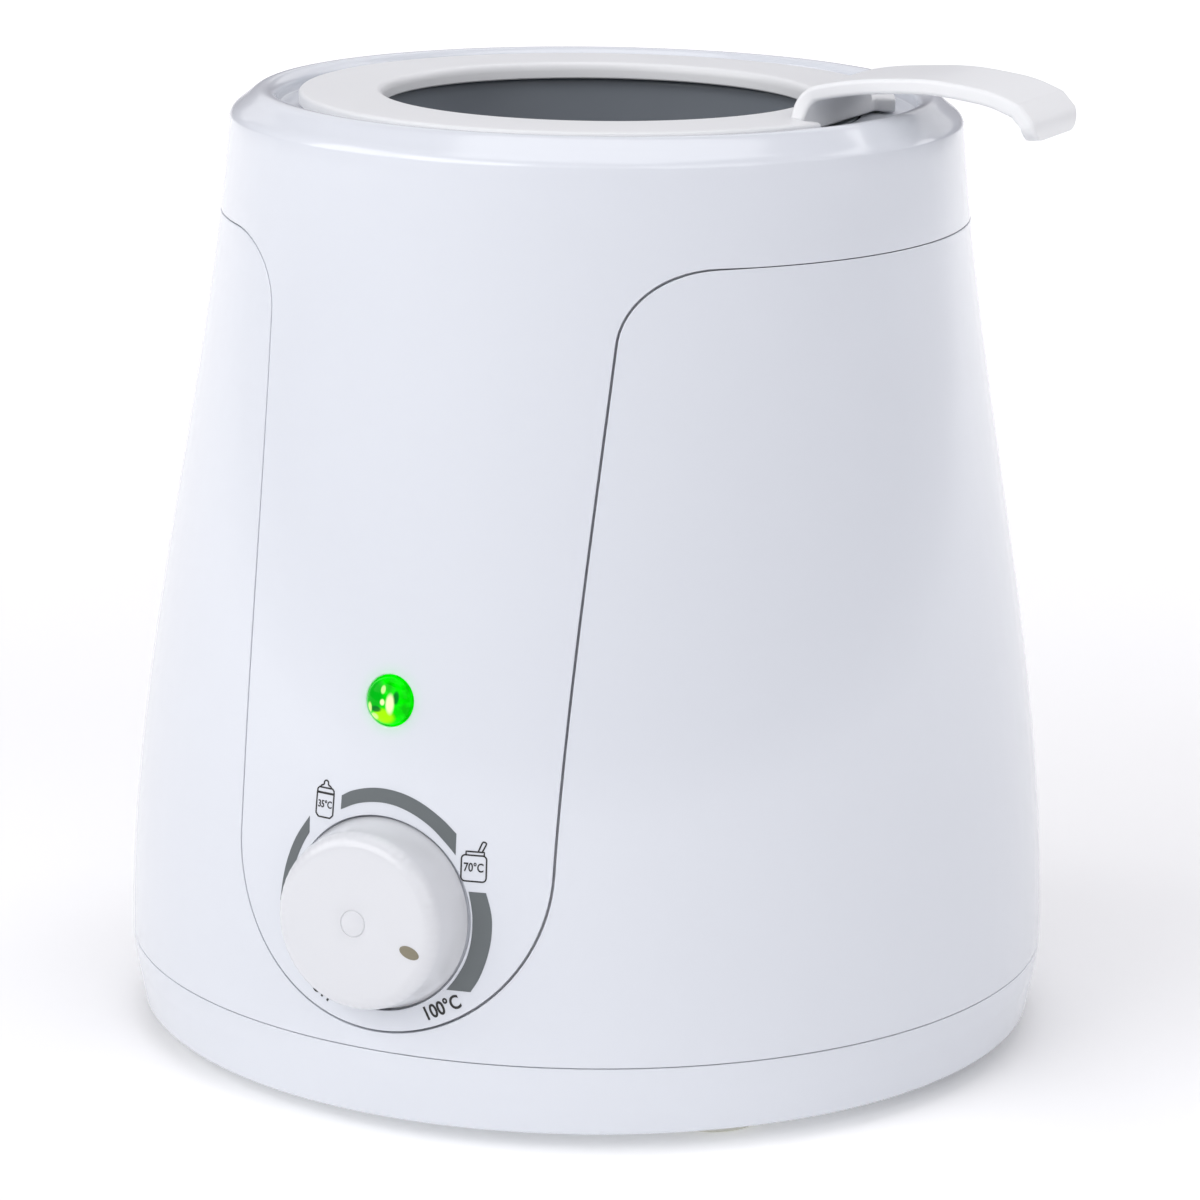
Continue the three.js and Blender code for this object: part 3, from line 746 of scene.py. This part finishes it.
def top_housing():
    shape = Shape()
    edge = shifted(JOINT, HALF_GAP + EDGE)
    top = level(SHOULDER_Z, math.pi, -math.pi, ROUND)
    side = upright(math.pi, edge[-1, 1], SHOULDER_Z, 6)
    other = upright(-math.pi, SHOULDER_Z, edge[0, 1], 6)
    seat_r = KNOB_R + KNOB_GAP
    seat_low = -SEAT_DEPTH - WALL
    seat = round_cut(KNOB_FRAME, seat_r + SEAT_EDGE, 120)
    lens = round_cut(LED_FRAME, LED_R + LED_GAP + LED_EDGE, 48)
    body_patch(shape, [edge, side, top, other], [seat, lens], 2.6, [(edge, TONGUE_REACH)])
    inner_seat = on_body(seat[:, 0], seat[:, 1], np.full(len(seat), -WALL))[0]
    shape.rows(
        edge_rows(seat, SEAT_EDGE)
        + seat_rows(KNOB_FRAME, [
            (seat_r, -SEAT_DEPTH + 0.2), (seat_r - 0.2, -SEAT_DEPTH), (10, -SEAT_DEPTH),
            (SPINDLE_HOLE_R + 0.3, -SEAT_DEPTH), (SPINDLE_HOLE_R, -SEAT_DEPTH - 0.3),
            (SPINDLE_HOLE_R, seat_low), (seat_r + 0.3, seat_low), (SEAT_PAD_R, seat_low),
        ], 120)
        + [inner_seat]
    )
    inner_lens = on_body(lens[:, 0], lens[:, 1], np.full(len(lens), -WALL))[0]
    shape.rows(edge_rows(lens, LED_EDGE) + [inner_lens])
    inside_top, _ = on_body(0, SHOULDER_Z, -WALL)
    recess = rounded([
        (RIM_INNER_R - 0.1, 149.9, 0), (RIM_INNER_R - 0.2, RECESS_Z, 0.4), (LEDGE_R, RECESS_Z, 0.25),
        (LEDGE_R, LEDGE_Z, 0.25), (COLLAR_R, LEDGE_Z, 0.25), (COLLAR_R, LEDGE_Z - 7, 0.2),
        (COLLAR_R + 2, LEDGE_Z - 7, 0.2), (COLLAR_R + 2, LEDGE_Z - WALL, 0.5),
        (RIM_INNER_R - 3, RECESS_Z - WALL, 0.5), (float(-inside_top[1]), float(inside_top[2]), 0),
    ], 4)
    turned(shape, np.vstack([smooth_through(RIM_KNOTS, 28), recess]), closed=False)
    for x, y in screw_places("base_screw", 3):
        screw_post(shape, x, y, POST_R, POST_FOOT_Z)
    for x, y in screw_places("bracket_screw", 2):
        screw_post(shape, x, y, BRACKET_POST_R, BRACKET_HIGH.z + 0.1)
    for x in (-BOARD_POST_X, BOARD_POST_X):
        at = LED_FRAME @ Matrix.Translation((x, 0, 0))
        turned(shape, [(0, -9.3), (1.6, -9.3), (1.6, -1.5), (0, -1.5)], 24, frame_matrix=at)
    return shape.object("housing_top", WHITE, "housing", ["top_housing"])


def side_shell():
    shape = Shape()
    edge = shifted(JOINT, -HALF_GAP - EDGE)[::-1]
    bottom = level(BASE_SEAM_Z + BAND_GAP / 2 + EDGE, -math.pi, math.pi, ROUND)
    turn = np.radians(np.linspace(-90, 90, 25))
    cut_r = BUSH_NECK_R + 0.1 + EDGE
    cut_z = CORD_Z + cut_r * np.sin(turn)
    half = np.stack([math.pi - np.arcsin(cut_r * np.cos(turn) / body_radius(cut_z)), cut_z], -1)
    below = upright(math.pi, bottom[-1, 1], cut_z[0], 8)
    above = upright(math.pi, cut_z[-1], edge[0, 1], 44)
    side = np.vstack([below[:-1], half, above[1:]])
    other = side[::-1] * [-1, 1]
    cut = np.vstack([half, (half[::-1] * [-1, 1] + [2 * math.pi, 0])[1:]])
    edges = [(bottom, -GROOVE_REACH), (edge, -GROOVE_REACH), (cut, 0)]
    body_patch(shape, [bottom, side, edge, other], [], 3.0, edges)
    return shape.object("housing_side", WHITE, "housing", ["side_shell"])


def base_cover():
    shape = Shape()
    low_r = 73.2
    plate_r = 66.0
    plate_top = BASE_LOW_Z + 2.6
    top_z = BASE_SEAM_Z - BAND_GAP / 2
    tongue_z = top_z + BASE_TONGUE_RISE
    inner_r = BODY_R - WALL
    wall = rounded([
        (plate_r, BASE_LOW_Z, 0), (low_r, BASE_LOW_Z, 1.0), (74.55, 10.4, 12), (BODY_R, top_z, EDGE),
        (BODY_R - TONGUE_TOP, top_z, 0), (BODY_R - TONGUE_TOP, tongue_z, 0),
        (BODY_R - TONGUE_LOW, tongue_z, 0), (BODY_R - TONGUE_LOW, top_z, 0), (inner_r, top_z, 0.1),
        (inner_r - 1.2, plate_top + 1.5, 1.0), (inner_r - 3, plate_top, 0.5), (plate_r, plate_top, 0),
    ], 6)
    turned(shape, wall, closed=False)
    outer = disc(plate_r, ROUND)
    below, above, rings = [outer], [outer], []
    for x in VENT_XS:
        corners = [(x - 1.5, -5), (x + 1.5, -5), (x + 1.5, 21), (x - 1.5, 21)]
        slot = rounded([(*corner, 1.49) for corner in corners], 6)
        below.append(slot)
        above.append(slot)
        rings.append([(slot, BASE_LOW_Z), (slot, plate_top)])
    for x, y in screw_places("base_screw", 3):
        well = [(4.3, BASE_LOW_Z), (4.0, BASE_LOW_Z + 0.3), (4.0, 6.0), (1.9, 6.0)]
        boss = [(1.9, 8.2), (6.3, 8.2), (6.5, 8.0), (6.5, plate_top)]
        ring = [(circle(x, y, radius, 40), z) for radius, z in well + boss]
        below.append(ring[0][0])
        above.append(ring[-1][0])
        rings.append(ring)
    for loops, z in ((below, BASE_LOW_Z), (above, plate_top)):
        verts, faces = fill(loops, 5.0)
        shape.triangles(at_height(verts, z), faces)
    for ring in rings:
        shape.rows([at_height(p, z) for p, z in ring], closed=True)
    return shape.object("housing_base", WHITE, "housing", ["base_cover"])


def foot(number):
    low, high = box_mm(f"foot_{number}")
    x, y = (low.x + high.x) / 2, (low.y + high.y) / 2
    shape = Shape()
    profile = rounded([
        (0, 0, 0), (7.9, 0, 0.6), (8.1, 3.0, 0.4), (2.5, 3.0, 0.2), (2.5, 6.1, 0.2), (3.4, 6.2, 0.3),
        (2.2, 7.8, 0.3), (0, 7.8, 0),
    ], 4)
    turned(shape, profile, 64, frame_matrix=Matrix.Translation((x, y, 0)))
    return shape.object(f"foot_pad_{number}", RUBBER, "housing", [f"foot_{number}"])


def cord_bush():
    shape = Shape()
    at = Matrix.Translation((0, float(body_radius(CORD_Z)), CORD_Z)) @ Matrix.Rotation(-math.pi / 2, 4, "X")
    profile = rounded([
        (3.3, -5, 0.2), (7, -5, 0.3), (7, -3.4, 0.3), (BUSH_NECK_R, -3.4, 0), (BUSH_NECK_R, 0.7, 0),
        (7, 0.7, 0.2), (6.7, 2.0, 0.5), (5.5, 6.5, 0.6), (3.3, 6.5, 0.4),
    ], 4)
    turned(shape, profile, 64, frame_matrix=at)
    return shape.object("cord_inlet_bush", BUSH_WHITE, "housing", ["cord_bush"])


# ---- water well ----


def tank():
    shape = Shape()
    floor_z = TANK_LOW.z + 2.0
    flange_z = TANK_HIGH.z - 1.2
    profile = rounded([
        (0, TANK_LOW.z, 0), (36.4, TANK_LOW.z, 7), (37.4, flange_z, 0.6), (41.7, flange_z, 0.3),
        (41.7, TANK_HIGH.z, 0.4), (36.2, TANK_HIGH.z, 1.0), (35.2, floor_z, 6), (0, floor_z, 0),
    ], 8)
    turned(shape, profile, 144)
    return shape.object("water_well", WELL_GREY, "housing", ["tank"])


def cradle():
    shape = Shape()
    low, top = CRADLE_LOW.z, CRADLE_LOW.z + 2.0
    holes = [(0.0, 0.0, 4.5, 40)]
    for ring, hole, offset in ((11, 2.6, 0), (22, 4.0, 22.5)):
        for i in range(8):
            a = math.radians(offset + 45 * i)
            holes.append((ring * math.sin(a), -ring * math.cos(a), hole, 28))
    flat = [disc(CRADLE_R - 0.55, 144)] + [circle(x, y, r + 0.3, n) for x, y, r, n in holes]
    verts, faces = fill(flat, 4.0)
    for z in (low, top):
        shape.triangles(at_height(verts, z), faces)
    edge = [(CRADLE_R - 0.55, low), (CRADLE_R - 0.15, low + 0.15), (CRADLE_R, low + 0.5)]
    edge += [(CRADLE_R, top - 0.5), (CRADLE_R - 0.15, top - 0.15), (CRADLE_R - 0.55, top)]
    shape.rows([at_height(disc(r, 144), z) for r, z in edge], closed=True)
    for x, y, r, n in holes:
        wall = [(r + 0.3, low), (r, low + 0.3), (r, top - 0.3), (r + 0.3, top)]
        shape.rows([at_height(circle(x, y, radius, n), z) for radius, z in wall], closed=True)
    half = math.asin(HANDLE_WIDTH / 2 / 34.5)
    steps = 24
    bend = np.linspace(math.pi / 2 - half, math.pi / 2 + half, steps + 1)
    section = []
    for inner, outer, z in ((33.9, 35.0, top - 0.4), (34.4, 35.5, CRADLE_HIGH.z)):
        there = [(outer * math.sin(a), -outer * math.cos(a), z) for a in bend]
        back = [(inner * math.sin(a), -inner * math.cos(a), z) for a in bend[::-1]]
        section.append(there + back)
    shape.rows(section, closed=True)
    for ends in section:
        for i in range(steps):
            start = shape.add([ends[i], ends[i + 1], ends[2 * steps - i], ends[2 * steps + 1 - i]])
            shape.faces.append([start, start + 1, start + 2, start + 3])
    return shape.object("lift_platform", RING_WHITE, "lift", ["lift_cradle"])


# ---- lift-out ring with its handle ----

# the handle's upper face from the side, as (outwards, height): from its root to the crease, then the tip
HANDLE_TOP = [
    (HANDLE_ROOT_X, RING_LOW_Z + 0.6), (39.2, 152.4), (39.45, 154.3), (40.35, 155.85), (42.1, 156.9),
    (47.6, 158.0), (54.5, 158.65), (60.0, 158.85), (65.5, 158.4), (70.6, 157.55), (75.9, 155.6),
]
HANDLE_TIP = [(75.9, 155.6), (76.8, 153.9), (77.25, 152.2), (77.4, 150.5)]


def handle_line():
    """The handle's upper face from the side: a smooth rise, a long crown, a crease and a turned-down tip."""
    rise = smooth_through(HANDLE_TOP, 70)
    tip = smooth_through(HANDLE_TIP, 200)
    length = float(np.linalg.norm(np.diff(tip, axis=0), axis=1).sum())
    turn = np.linspace(0, math.pi / 2, 26)
    from_end = np.minimum(length, TIP_CORNER * (1 - np.sin(turn)))
    index = np.unique(np.round(200 * (1 - from_end / length)).astype(int))
    tip = tip[index]
    clear = np.linalg.norm(tip - tip[0], axis=1) > CREASE_CLEARANCE
    return np.vstack([rise[:-2], tip[:1], tip[clear]])


def lift_ring():
    shape = Shape()
    slot_x = HANDLE_ROOT_X + HANDLE_THICK - 0.05

    def outline(radius, inset):
        start = math.degrees(math.asin((SLOT_HALF + inset) / radius))
        rim = arc((0, 0), radius, start, 360 - start, 150)
        slot = rounded([
            (rim[-1][0], -SLOT_HALF - inset, 0), (slot_x - inset, -SLOT_HALF - inset, 0.6),
            (slot_x - inset, SLOT_HALF + inset, 0.6), (rim[0][0], SLOT_HALF + inset, 0),
        ], 5)
        return np.vstack([rim, slot[1:-1]])

    edge = [(0.6, RING_TOP_Z), (0.3, RING_TOP_Z - 0.08), (0.08, RING_TOP_Z - 0.3), (0, RING_TOP_Z - 0.6)]
    edge += [(0, RING_LOW_Z + 0.3), (0.3, RING_LOW_Z)]
    outside = [(outline(RING_R - inset, inset), z) for inset, z in edge]
    lip = [(1.1, 0), (0.8, 0.06), (0.52, 0.2), (0.28, 0.45), (0.1, 0.85), (0, 1.4)]
    hole = [(gap, RING_TOP_Z - depth) for gap, depth in lip]
    hole += [(0, RING_LOW_Z - 0.2), (0.2, RING_LOW_Z - 0.4), (2.0, RING_LOW_Z - 0.4), (2.2, RING_LOW_Z)]
    opening = [(arc((0, 0), OPENING_R + gap, 360, 0, 144)[:-1], z) for gap, z in hole]
    for k in (0, -1):
        verts, faces = fill([outside[k][0], opening[k][0]], 2.6)
        shape.triangles(at_height(verts, outside[k][1]), faces)
    shape.rows([at_height(p, z) for p, z in outside], closed=True)
    shape.rows([at_height(p, z) for p, z in opening], closed=True)

    line = handle_line()
    run = directions(line)
    across = np.stack([run[:, 1], -run[:, 0]], -1)
    soft = 0.7
    to_end = np.concatenate([[0], np.cumsum(np.linalg.norm(np.diff(line[::-1], axis=0), axis=1))])[::-1]
    rows = []
    for (x, z), (ux, uz), left in zip(line, across, to_end):
        past = max(0.0, TIP_CORNER - left)
        width = HANDLE_WIDTH / 2 - TIP_CORNER + math.sqrt(TIP_CORNER**2 - past**2)
        from_root = math.hypot(x - HANDLE_ROOT_X, z - RING_TOP_Z)
        width += ROOT_FLARE * max(0.0, 1 - from_root / ROOT_FLARE_LENGTH) ** 2
        section = rounded([
            (-width, 0, soft), (width, 0, soft), (width, HANDLE_THICK, soft), (-width, HANDLE_THICK, soft),
        ], 5)
        rows.append([(x + ux * depth, y, z + uz * depth) for y, depth in section])
    shape.rows(rows, closed=True)
    for row in (rows[0], rows[-1]):
        start = shape.add(row)
        centre = shape.add([np.mean(row, axis=0)])
        count = len(row)
        for i in range(count):
            shape.faces.append([start + i, start + (i + 1) % count, centre])
    return shape.object("lift_ring_handle", RING_WHITE, "lift", ["lift_ring"], merge=0.003)


# ---- knob, scale and pilot light ----


def knob():
    shape = Shape()
    face = [(0, 7.7), (1.82, 7.7), (1.9, 7.66), (1.95, 7.55), (2.05, 7.55), (2.1, 7.66), (2.18, 7.7)]
    face += [(4.5, 7.68), (7.5, 7.58), (9.6, 7.44)]
    shoulder = arc((11.15, 4.9), 2.5, 84, 6, 10).tolist()
    side = [(13.9, 3.4), (14.15, 1.8), (14.4, 0.2)]
    side += [(KNOB_R, -0.9), (KNOB_R - 0.04, -1.25), (KNOB_R - 0.3, -1.4)]
    under = [(13.0, -1.4), (11.3, 3.4), (4.8, 3.4), (4.8, -0.9), (3.3, -0.9), (3.3, 4.2), (0, 4.2)]
    profile = face + shoulder + side + under
    strength = np.zeros(len(profile))
    count = len(shoulder)
    strength[len(face) : len(face) + count] = FLUTE_DEPTH * np.sin(np.pi * (np.arange(count) + 0.5) / count)

    def ripple(angles, index):
        return -strength[index] * (0.5 + 0.5 * np.cos(FLUTES * angles)) ** 2

    turned(shape, profile, FLUTES * 6, ripple=ripple, frame_matrix=KNOB_FRAME)
    return shape.object("knob_cap", KNOB_WHITE, "knob", ["knob"], sharp=50)


def pointer():
    shape = Shape()
    turn = math.radians(90 - POINTER_ANGLE)
    at = Matrix.Translation((POINTER_R * math.cos(turn), POINTER_R * math.sin(turn), 7.45))
    local = KNOB_FRAME @ at @ Matrix.Rotation(turn, 4, "Z") @ Matrix.Rotation(math.radians(3), 4, "Y")
    local = local @ Matrix.Diagonal((1.65, 0.9, 1, 1))
    profile = [(0, 0.14), (0.7, 0.13), (0.93, 0.10), (1.0, 0.04), (1.0, -0.4), (0, -0.4)]
    turned(shape, profile, 48, frame_matrix=local)
    return shape.object("knob_pointer", POINTER, "knob")


def pilot_lens():
    shape = Shape()
    dome = [(0.01, 1.75), (1.3, 1.66), (2.4, 1.36), (3.15, 0.9), (3.52, 0.45), (LED_R, 0.0)]
    profile = [(0, 1.75)] + smooth_through(dome, 16).tolist()[1:]
    profile += [(LED_R, -3.1), (4.9, -3.1), (4.9, -4.2), (2.9, -4.2), (2.9, -0.3), (0, -0.3)]
    turned(shape, profile, 64, frame_matrix=LED_FRAME)
    return shape.object("pilot_lens", LENS, "housing", ["led_lens"])


SCALE_R = float(body_radius(KNOB_Z))


def on_panel(points, out):
    """Flat drawing points (sideways, upwards from the table) laid on the panel."""
    points = np.asarray(points, float)
    return on_body(points[:, 0] / SCALE_R, points[:, 1], np.full(len(points), out))[0]


def printed(shape, loops, spacing=1.2):
    verts, faces = fill(loops, spacing)
    shape.triangles(on_panel(verts, PRINT_RISE), faces)
    shape.triangles(on_panel(verts, -PRINT_SINK), faces, flip=True)
    for loop in loops:
        shape.rows([on_panel(loop, PRINT_RISE), on_panel(loop, -PRINT_SINK)], closed=True)


# outer and inner edges of the three grey bands of the dial, as (sideways, height) on the panel
SCALE_BANDS = [
    ([(-17.95, 35.0), (-17.65, 38.3), (-16.95, 41.7), (-15.5, 45.4), (-13.15, 49.0)],
     [(-16.1, 35.0), (-15.9, 38.3), (-15.3, 41.4), (-14.25, 44.2), (-13.0, 46.5)]),
    ([(-7.35, 53.1), (-5.4, 54.15), (-2.2, 55.0), (1.05, 55.15), (4.3, 54.6), (7.4, 53.35), (10.4, 51.45),
      (12.45, 49.7)],
     [(-7.35, 50.95), (-4.6, 52.25), (-1.4, 52.95), (1.85, 52.9), (5.1, 52.0), (8.2, 50.35), (10.7, 48.25),
      (12.45, 46.5)]),
    ([(17.4, 41.15), (18.1, 38.9), (18.45, 36.7), (18.35, 33.85), (17.75, 30.95), (16.7, 28.0),
      (15.4, 25.75)],
     [(14.7, 41.15), (15.25, 38.7), (15.45, 36.45), (15.3, 33.6), (14.6, 30.7), (13.25, 28.0),
      (11.65, 25.75)]),
]


def scale_band(number, outer, inner):
    shape = Shape()
    printed(shape, [np.vstack([smooth_through(outer, 40), smooth_through(inner, 40)[::-1]])])
    return shape.object(f"print_arc_{number}", PRINT_GREY, "housing")


def stroke(shape, points, width=FINE_LINE, closed=False):
    """A printed line of even width."""
    points = np.asarray(points, float)
    if closed:
        points = np.vstack([points, points[:1]])
    run = directions(np.column_stack([points, np.zeros(len(points))]))[:, :2]
    side = np.stack([-run[:, 1], run[:, 0]], -1) * width / 2
    if closed:
        printed(shape, [(points + side)[:-1], (points - side)[:-1]], 5)
    else:
        printed(shape, [np.vstack([points + side, (points - side)[::-1]])], 5)


def dense(points, step=0.25, closed=False):
    points = np.asarray(points, float)
    if closed:
        points = np.vstack([points, points[:1]])
    out = []
    for a, b in zip(points[:-1], points[1:]):
        count = max(1, int(np.linalg.norm(b - a) / step))
        out += [a + (b - a) * k / count for k in range(count)]
    if not closed:
        out.append(points[-1])
    return np.array(out)


def lettering(name, words, size, centre, turn_deg, weight):
    """Dial figures as thin raised print, from Blender's own plain typeface."""
    font = bpy.data.curves.new(name, "FONT")
    font.body = words
    font.size = size
    font.align_x = "CENTER"
    font.align_y = "CENTER"
    font.resolution_u = 6
    font.extrude = 0.05
    font.offset = weight
    holder = bpy.data.objects.new(name, font)
    bpy.context.scene.collection.objects.link(holder)
    flat = bpy.data.meshes.new_from_object(holder)
    bpy.data.objects.remove(holder)
    turn = math.radians(turn_deg)
    shape = Shape()
    at = np.array([v.co for v in flat.vertices])
    at[:, 0] *= FIGURE_WIDTH
    x = at[:, 0] * math.cos(turn) - at[:, 1] * math.sin(turn) + centre[0]
    y = at[:, 0] * math.sin(turn) + at[:, 1] * math.cos(turn) + centre[1]
    points = on_body(x / SCALE_R, y, at[:, 2])[0]
    shape.points = points.tolist()
    shape.faces = [list(p.vertices) for p in flat.polygons]
    bpy.data.meshes.remove(flat)
    return shape.object(name, PRINT_DARK, "housing", merge=0.0005)


def bottle_symbol():
    """An outlined feeding bottle: body, collar with a heavy line under it, and teat."""
    shape = Shape()
    left, right, low, cap = -12.0, -8.8, 49.25, 52.95
    middle = (left + right) / 2
    body = [(left, cap), (left, low + 0.5), (left + 0.5, low)]
    body += [(right - 0.5, low), (right, low + 0.5), (right, cap)]
    stroke(shape, dense(body))
    stroke(shape, dense([(left, cap), (right, cap)]), HEAVY_LINE)
    collar = [(left, cap), (left + 0.05, cap + 0.5), (left + 0.35, cap + 0.8), (right - 0.35, cap + 0.8),
              (right - 0.05, cap + 0.5), (right, cap)]
    stroke(shape, dense(collar))
    half = [(1.1, 0.8), (0.85, 1.1), (0.45, 1.3), (0.38, 1.7), (0.2, 1.9), (0.0, 1.95)]
    teat = [(middle - x, cap + z) for x, z in half] + [(middle + x, cap + z) for x, z in half[-2::-1]]
    stroke(shape, smooth_through(teat, 40))
    return shape.object("print_bottle", PRINT_DARK, "housing", merge=0.0005)


def jar_symbol():
    """An outlined food jar: rounded body, lid and the handle of a spoon."""
    shape = Shape()
    left, right, low, top = 13.4, 17.35, 42.75, 46.7
    body = rounded([(left, low, 0.6), (right, low, 0.6), (right, top, 0.6), (left, top, 0.6)], 4)
    stroke(shape, dense(body, closed=True), closed=True)
    lid = [(left + 0.7, top), (left + 0.7, top + 0.55), (right - 0.4, top + 0.55), (right - 0.4, top)]
    stroke(shape, dense(lid))
    spoon = [(16.0, top + 0.6), (16.6, top + 1.95), (16.85, top + 2.1)]
    spoon += [(17.15, top + 2.0), (17.2, top + 1.75), (16.65, top + 0.6)]
    stroke(shape, smooth_through(spoon, 40))
    return shape.object("print_jar", PRINT_DARK, "housing", merge=0.0005)


# ---- the whole warmer ----

top_housing()
side_shell()
base_cover()
for number in (1, 2, 3, 4):
    foot(number)
cord_bush()
tank()
cradle()
lift_ring()
knob()
pointer()
pilot_lens()
for number, (outer, inner) in enumerate(SCALE_BANDS, 1):
    scale_band(number, outer, inner)
bottle_symbol()
jar_symbol()
lettering("print_35", "35°C", 1.55, (-10.4, 51.2), 0, 0.025)
lettering("print_70", "70°C", 1.85, (15.35, 44.8), 0, 0.03)
lettering("print_100", "100°C", 3.0, (10.95, 22.75), 27, 0.06)
lettering("print_off", "OFF", 3.0, (-9.05, 22.45), -27, 0.06)

# ---- floor, light and camera ----


FRONT_GLOW_AT = (0.02, -0.055, 0)
GLOW_LEAST = 0.02


def floor():
    """A pale floor that glows a little under the front edge and far off, to look as light as in the photo."""
    finish, tree, shader = new_finish("studio_floor")
    where = mottled(tree, shader, (0.93, 0.93, 0.93), 0.004, 3)
    roughened(tree, shader, where, 0.75, 0.85, 5)
    away = tree.nodes.new("ShaderNodeVectorMath")
    away.operation = "LENGTH"
    ahead = tree.nodes.new("ShaderNodeVectorMath")
    ahead.operation = "DISTANCE"
    ahead.inputs[1].default_value = FRONT_GLOW_AT
    tree.links.new(where.outputs["Object"], away.inputs[0])
    tree.links.new(where.outputs["Object"], ahead.inputs[0])
    far = spread_from(tree, away.outputs["Value"], GLOW_LEAST, 0.45, 0.25, 1.5)
    near = spread_from(tree, ahead.outputs["Value"], 0.22, GLOW_LEAST, 0.03, 0.09, smooth=True)
    most = tree.nodes.new("ShaderNodeMath")
    most.operation = "MAXIMUM"
    tree.links.new(far, most.inputs[0])
    tree.links.new(near, most.inputs[1])
    tree.links.new(most.outputs["Value"], shader.inputs["Emission Strength"])
    shader.inputs["Emission Color"].default_value = (1, 1, 1, 1)
    mesh = bpy.data.meshes.new("studio_floor")
    mesh.from_pydata([(-9, -9, 0), (9, -9, 0), (9, 9, 0), (-9, 9, 0)], [], [(0, 1, 2, 3)])
    mesh.materials.append(finish)
    ground = bpy.data.objects.new("studio_floor", mesh)
    bpy.context.scene.collection.objects.link(ground)


LAMP_WATTS = {-140: 1.6, -100: 0.3, -60: 9.0, -20: 12.0, 20: 2.9, 60: 6.6, 100: 1.5, 140: 6.8, 180: 2.4}
LAMP_DISTANCE = 1.8
LAMP_RISE = 30
LAMP_SIZE = 1.1
TOP_RISE = 89.9
TOP_SIZE = 1.5
TOP_WATTS = 10.6
AIM = Vector((0, 0, 0.08))


def soft_light(name, turn, rise, size, watts):
    """A large soft lamp at that angle round the warmer, from the front towards the handle, and that rise."""
    data = bpy.data.lights.new(name, "AREA")
    data.size = size
    data.energy = watts
    lamp = bpy.data.objects.new(name, data)
    a, e = math.radians(turn), math.radians(rise)
    way = Vector((math.cos(e) * math.sin(a), -math.cos(e) * math.cos(a), math.sin(e)))
    lamp.location = AIM + LAMP_DISTANCE * way
    lamp.rotation_euler = (-way).to_track_quat("-Z", "Y").to_euler()
    bpy.context.scene.collection.objects.link(lamp)


floor()
for turn, watts in LAMP_WATTS.items():
    soft_light(f"lamp_{turn}", turn, LAMP_RISE, LAMP_SIZE, watts)
soft_light("lamp_top", 0, TOP_RISE, TOP_SIZE, TOP_WATTS)

world = bpy.data.worlds.new("studio_air")
world.use_nodes = True
world.node_tree.nodes["Background"].inputs["Color"].default_value = (0.92, 0.89, 1.0, 1)
world.node_tree.nodes["Background"].inputs["Strength"].default_value = 0.29
bpy.context.scene.world = world
bpy.context.scene.view_settings.view_transform = "Standard"

CAMERA_AZIMUTH = 25.3
CAMERA_PITCH = 14.082
CAMERA_PAN = 0.121
CAMERA_ROLL = 0.76
CAMERA_REACH = 0.7153
CAMERA_HEIGHT = 0.2479

view = bpy.data.cameras.new("view")
view.lens = 135.33
view.sensor_width = 36
view.clip_end = 50
camera = bpy.data.objects.new("view", view)
azimuth = math.radians(CAMERA_AZIMUTH)
camera.matrix_world = (
    Matrix.Translation((CAMERA_REACH * math.sin(azimuth), -CAMERA_REACH * math.cos(azimuth), CAMERA_HEIGHT))
    @ Matrix.Rotation(math.radians(CAMERA_AZIMUTH - CAMERA_PAN), 4, "Z")
    @ Matrix.Rotation(math.radians(90 - CAMERA_PITCH), 4, "X")
    @ Matrix.Rotation(math.radians(CAMERA_ROLL), 4, "Z")
)
bpy.context.scene.collection.objects.link(camera)
bpy.context.scene.camera = camera
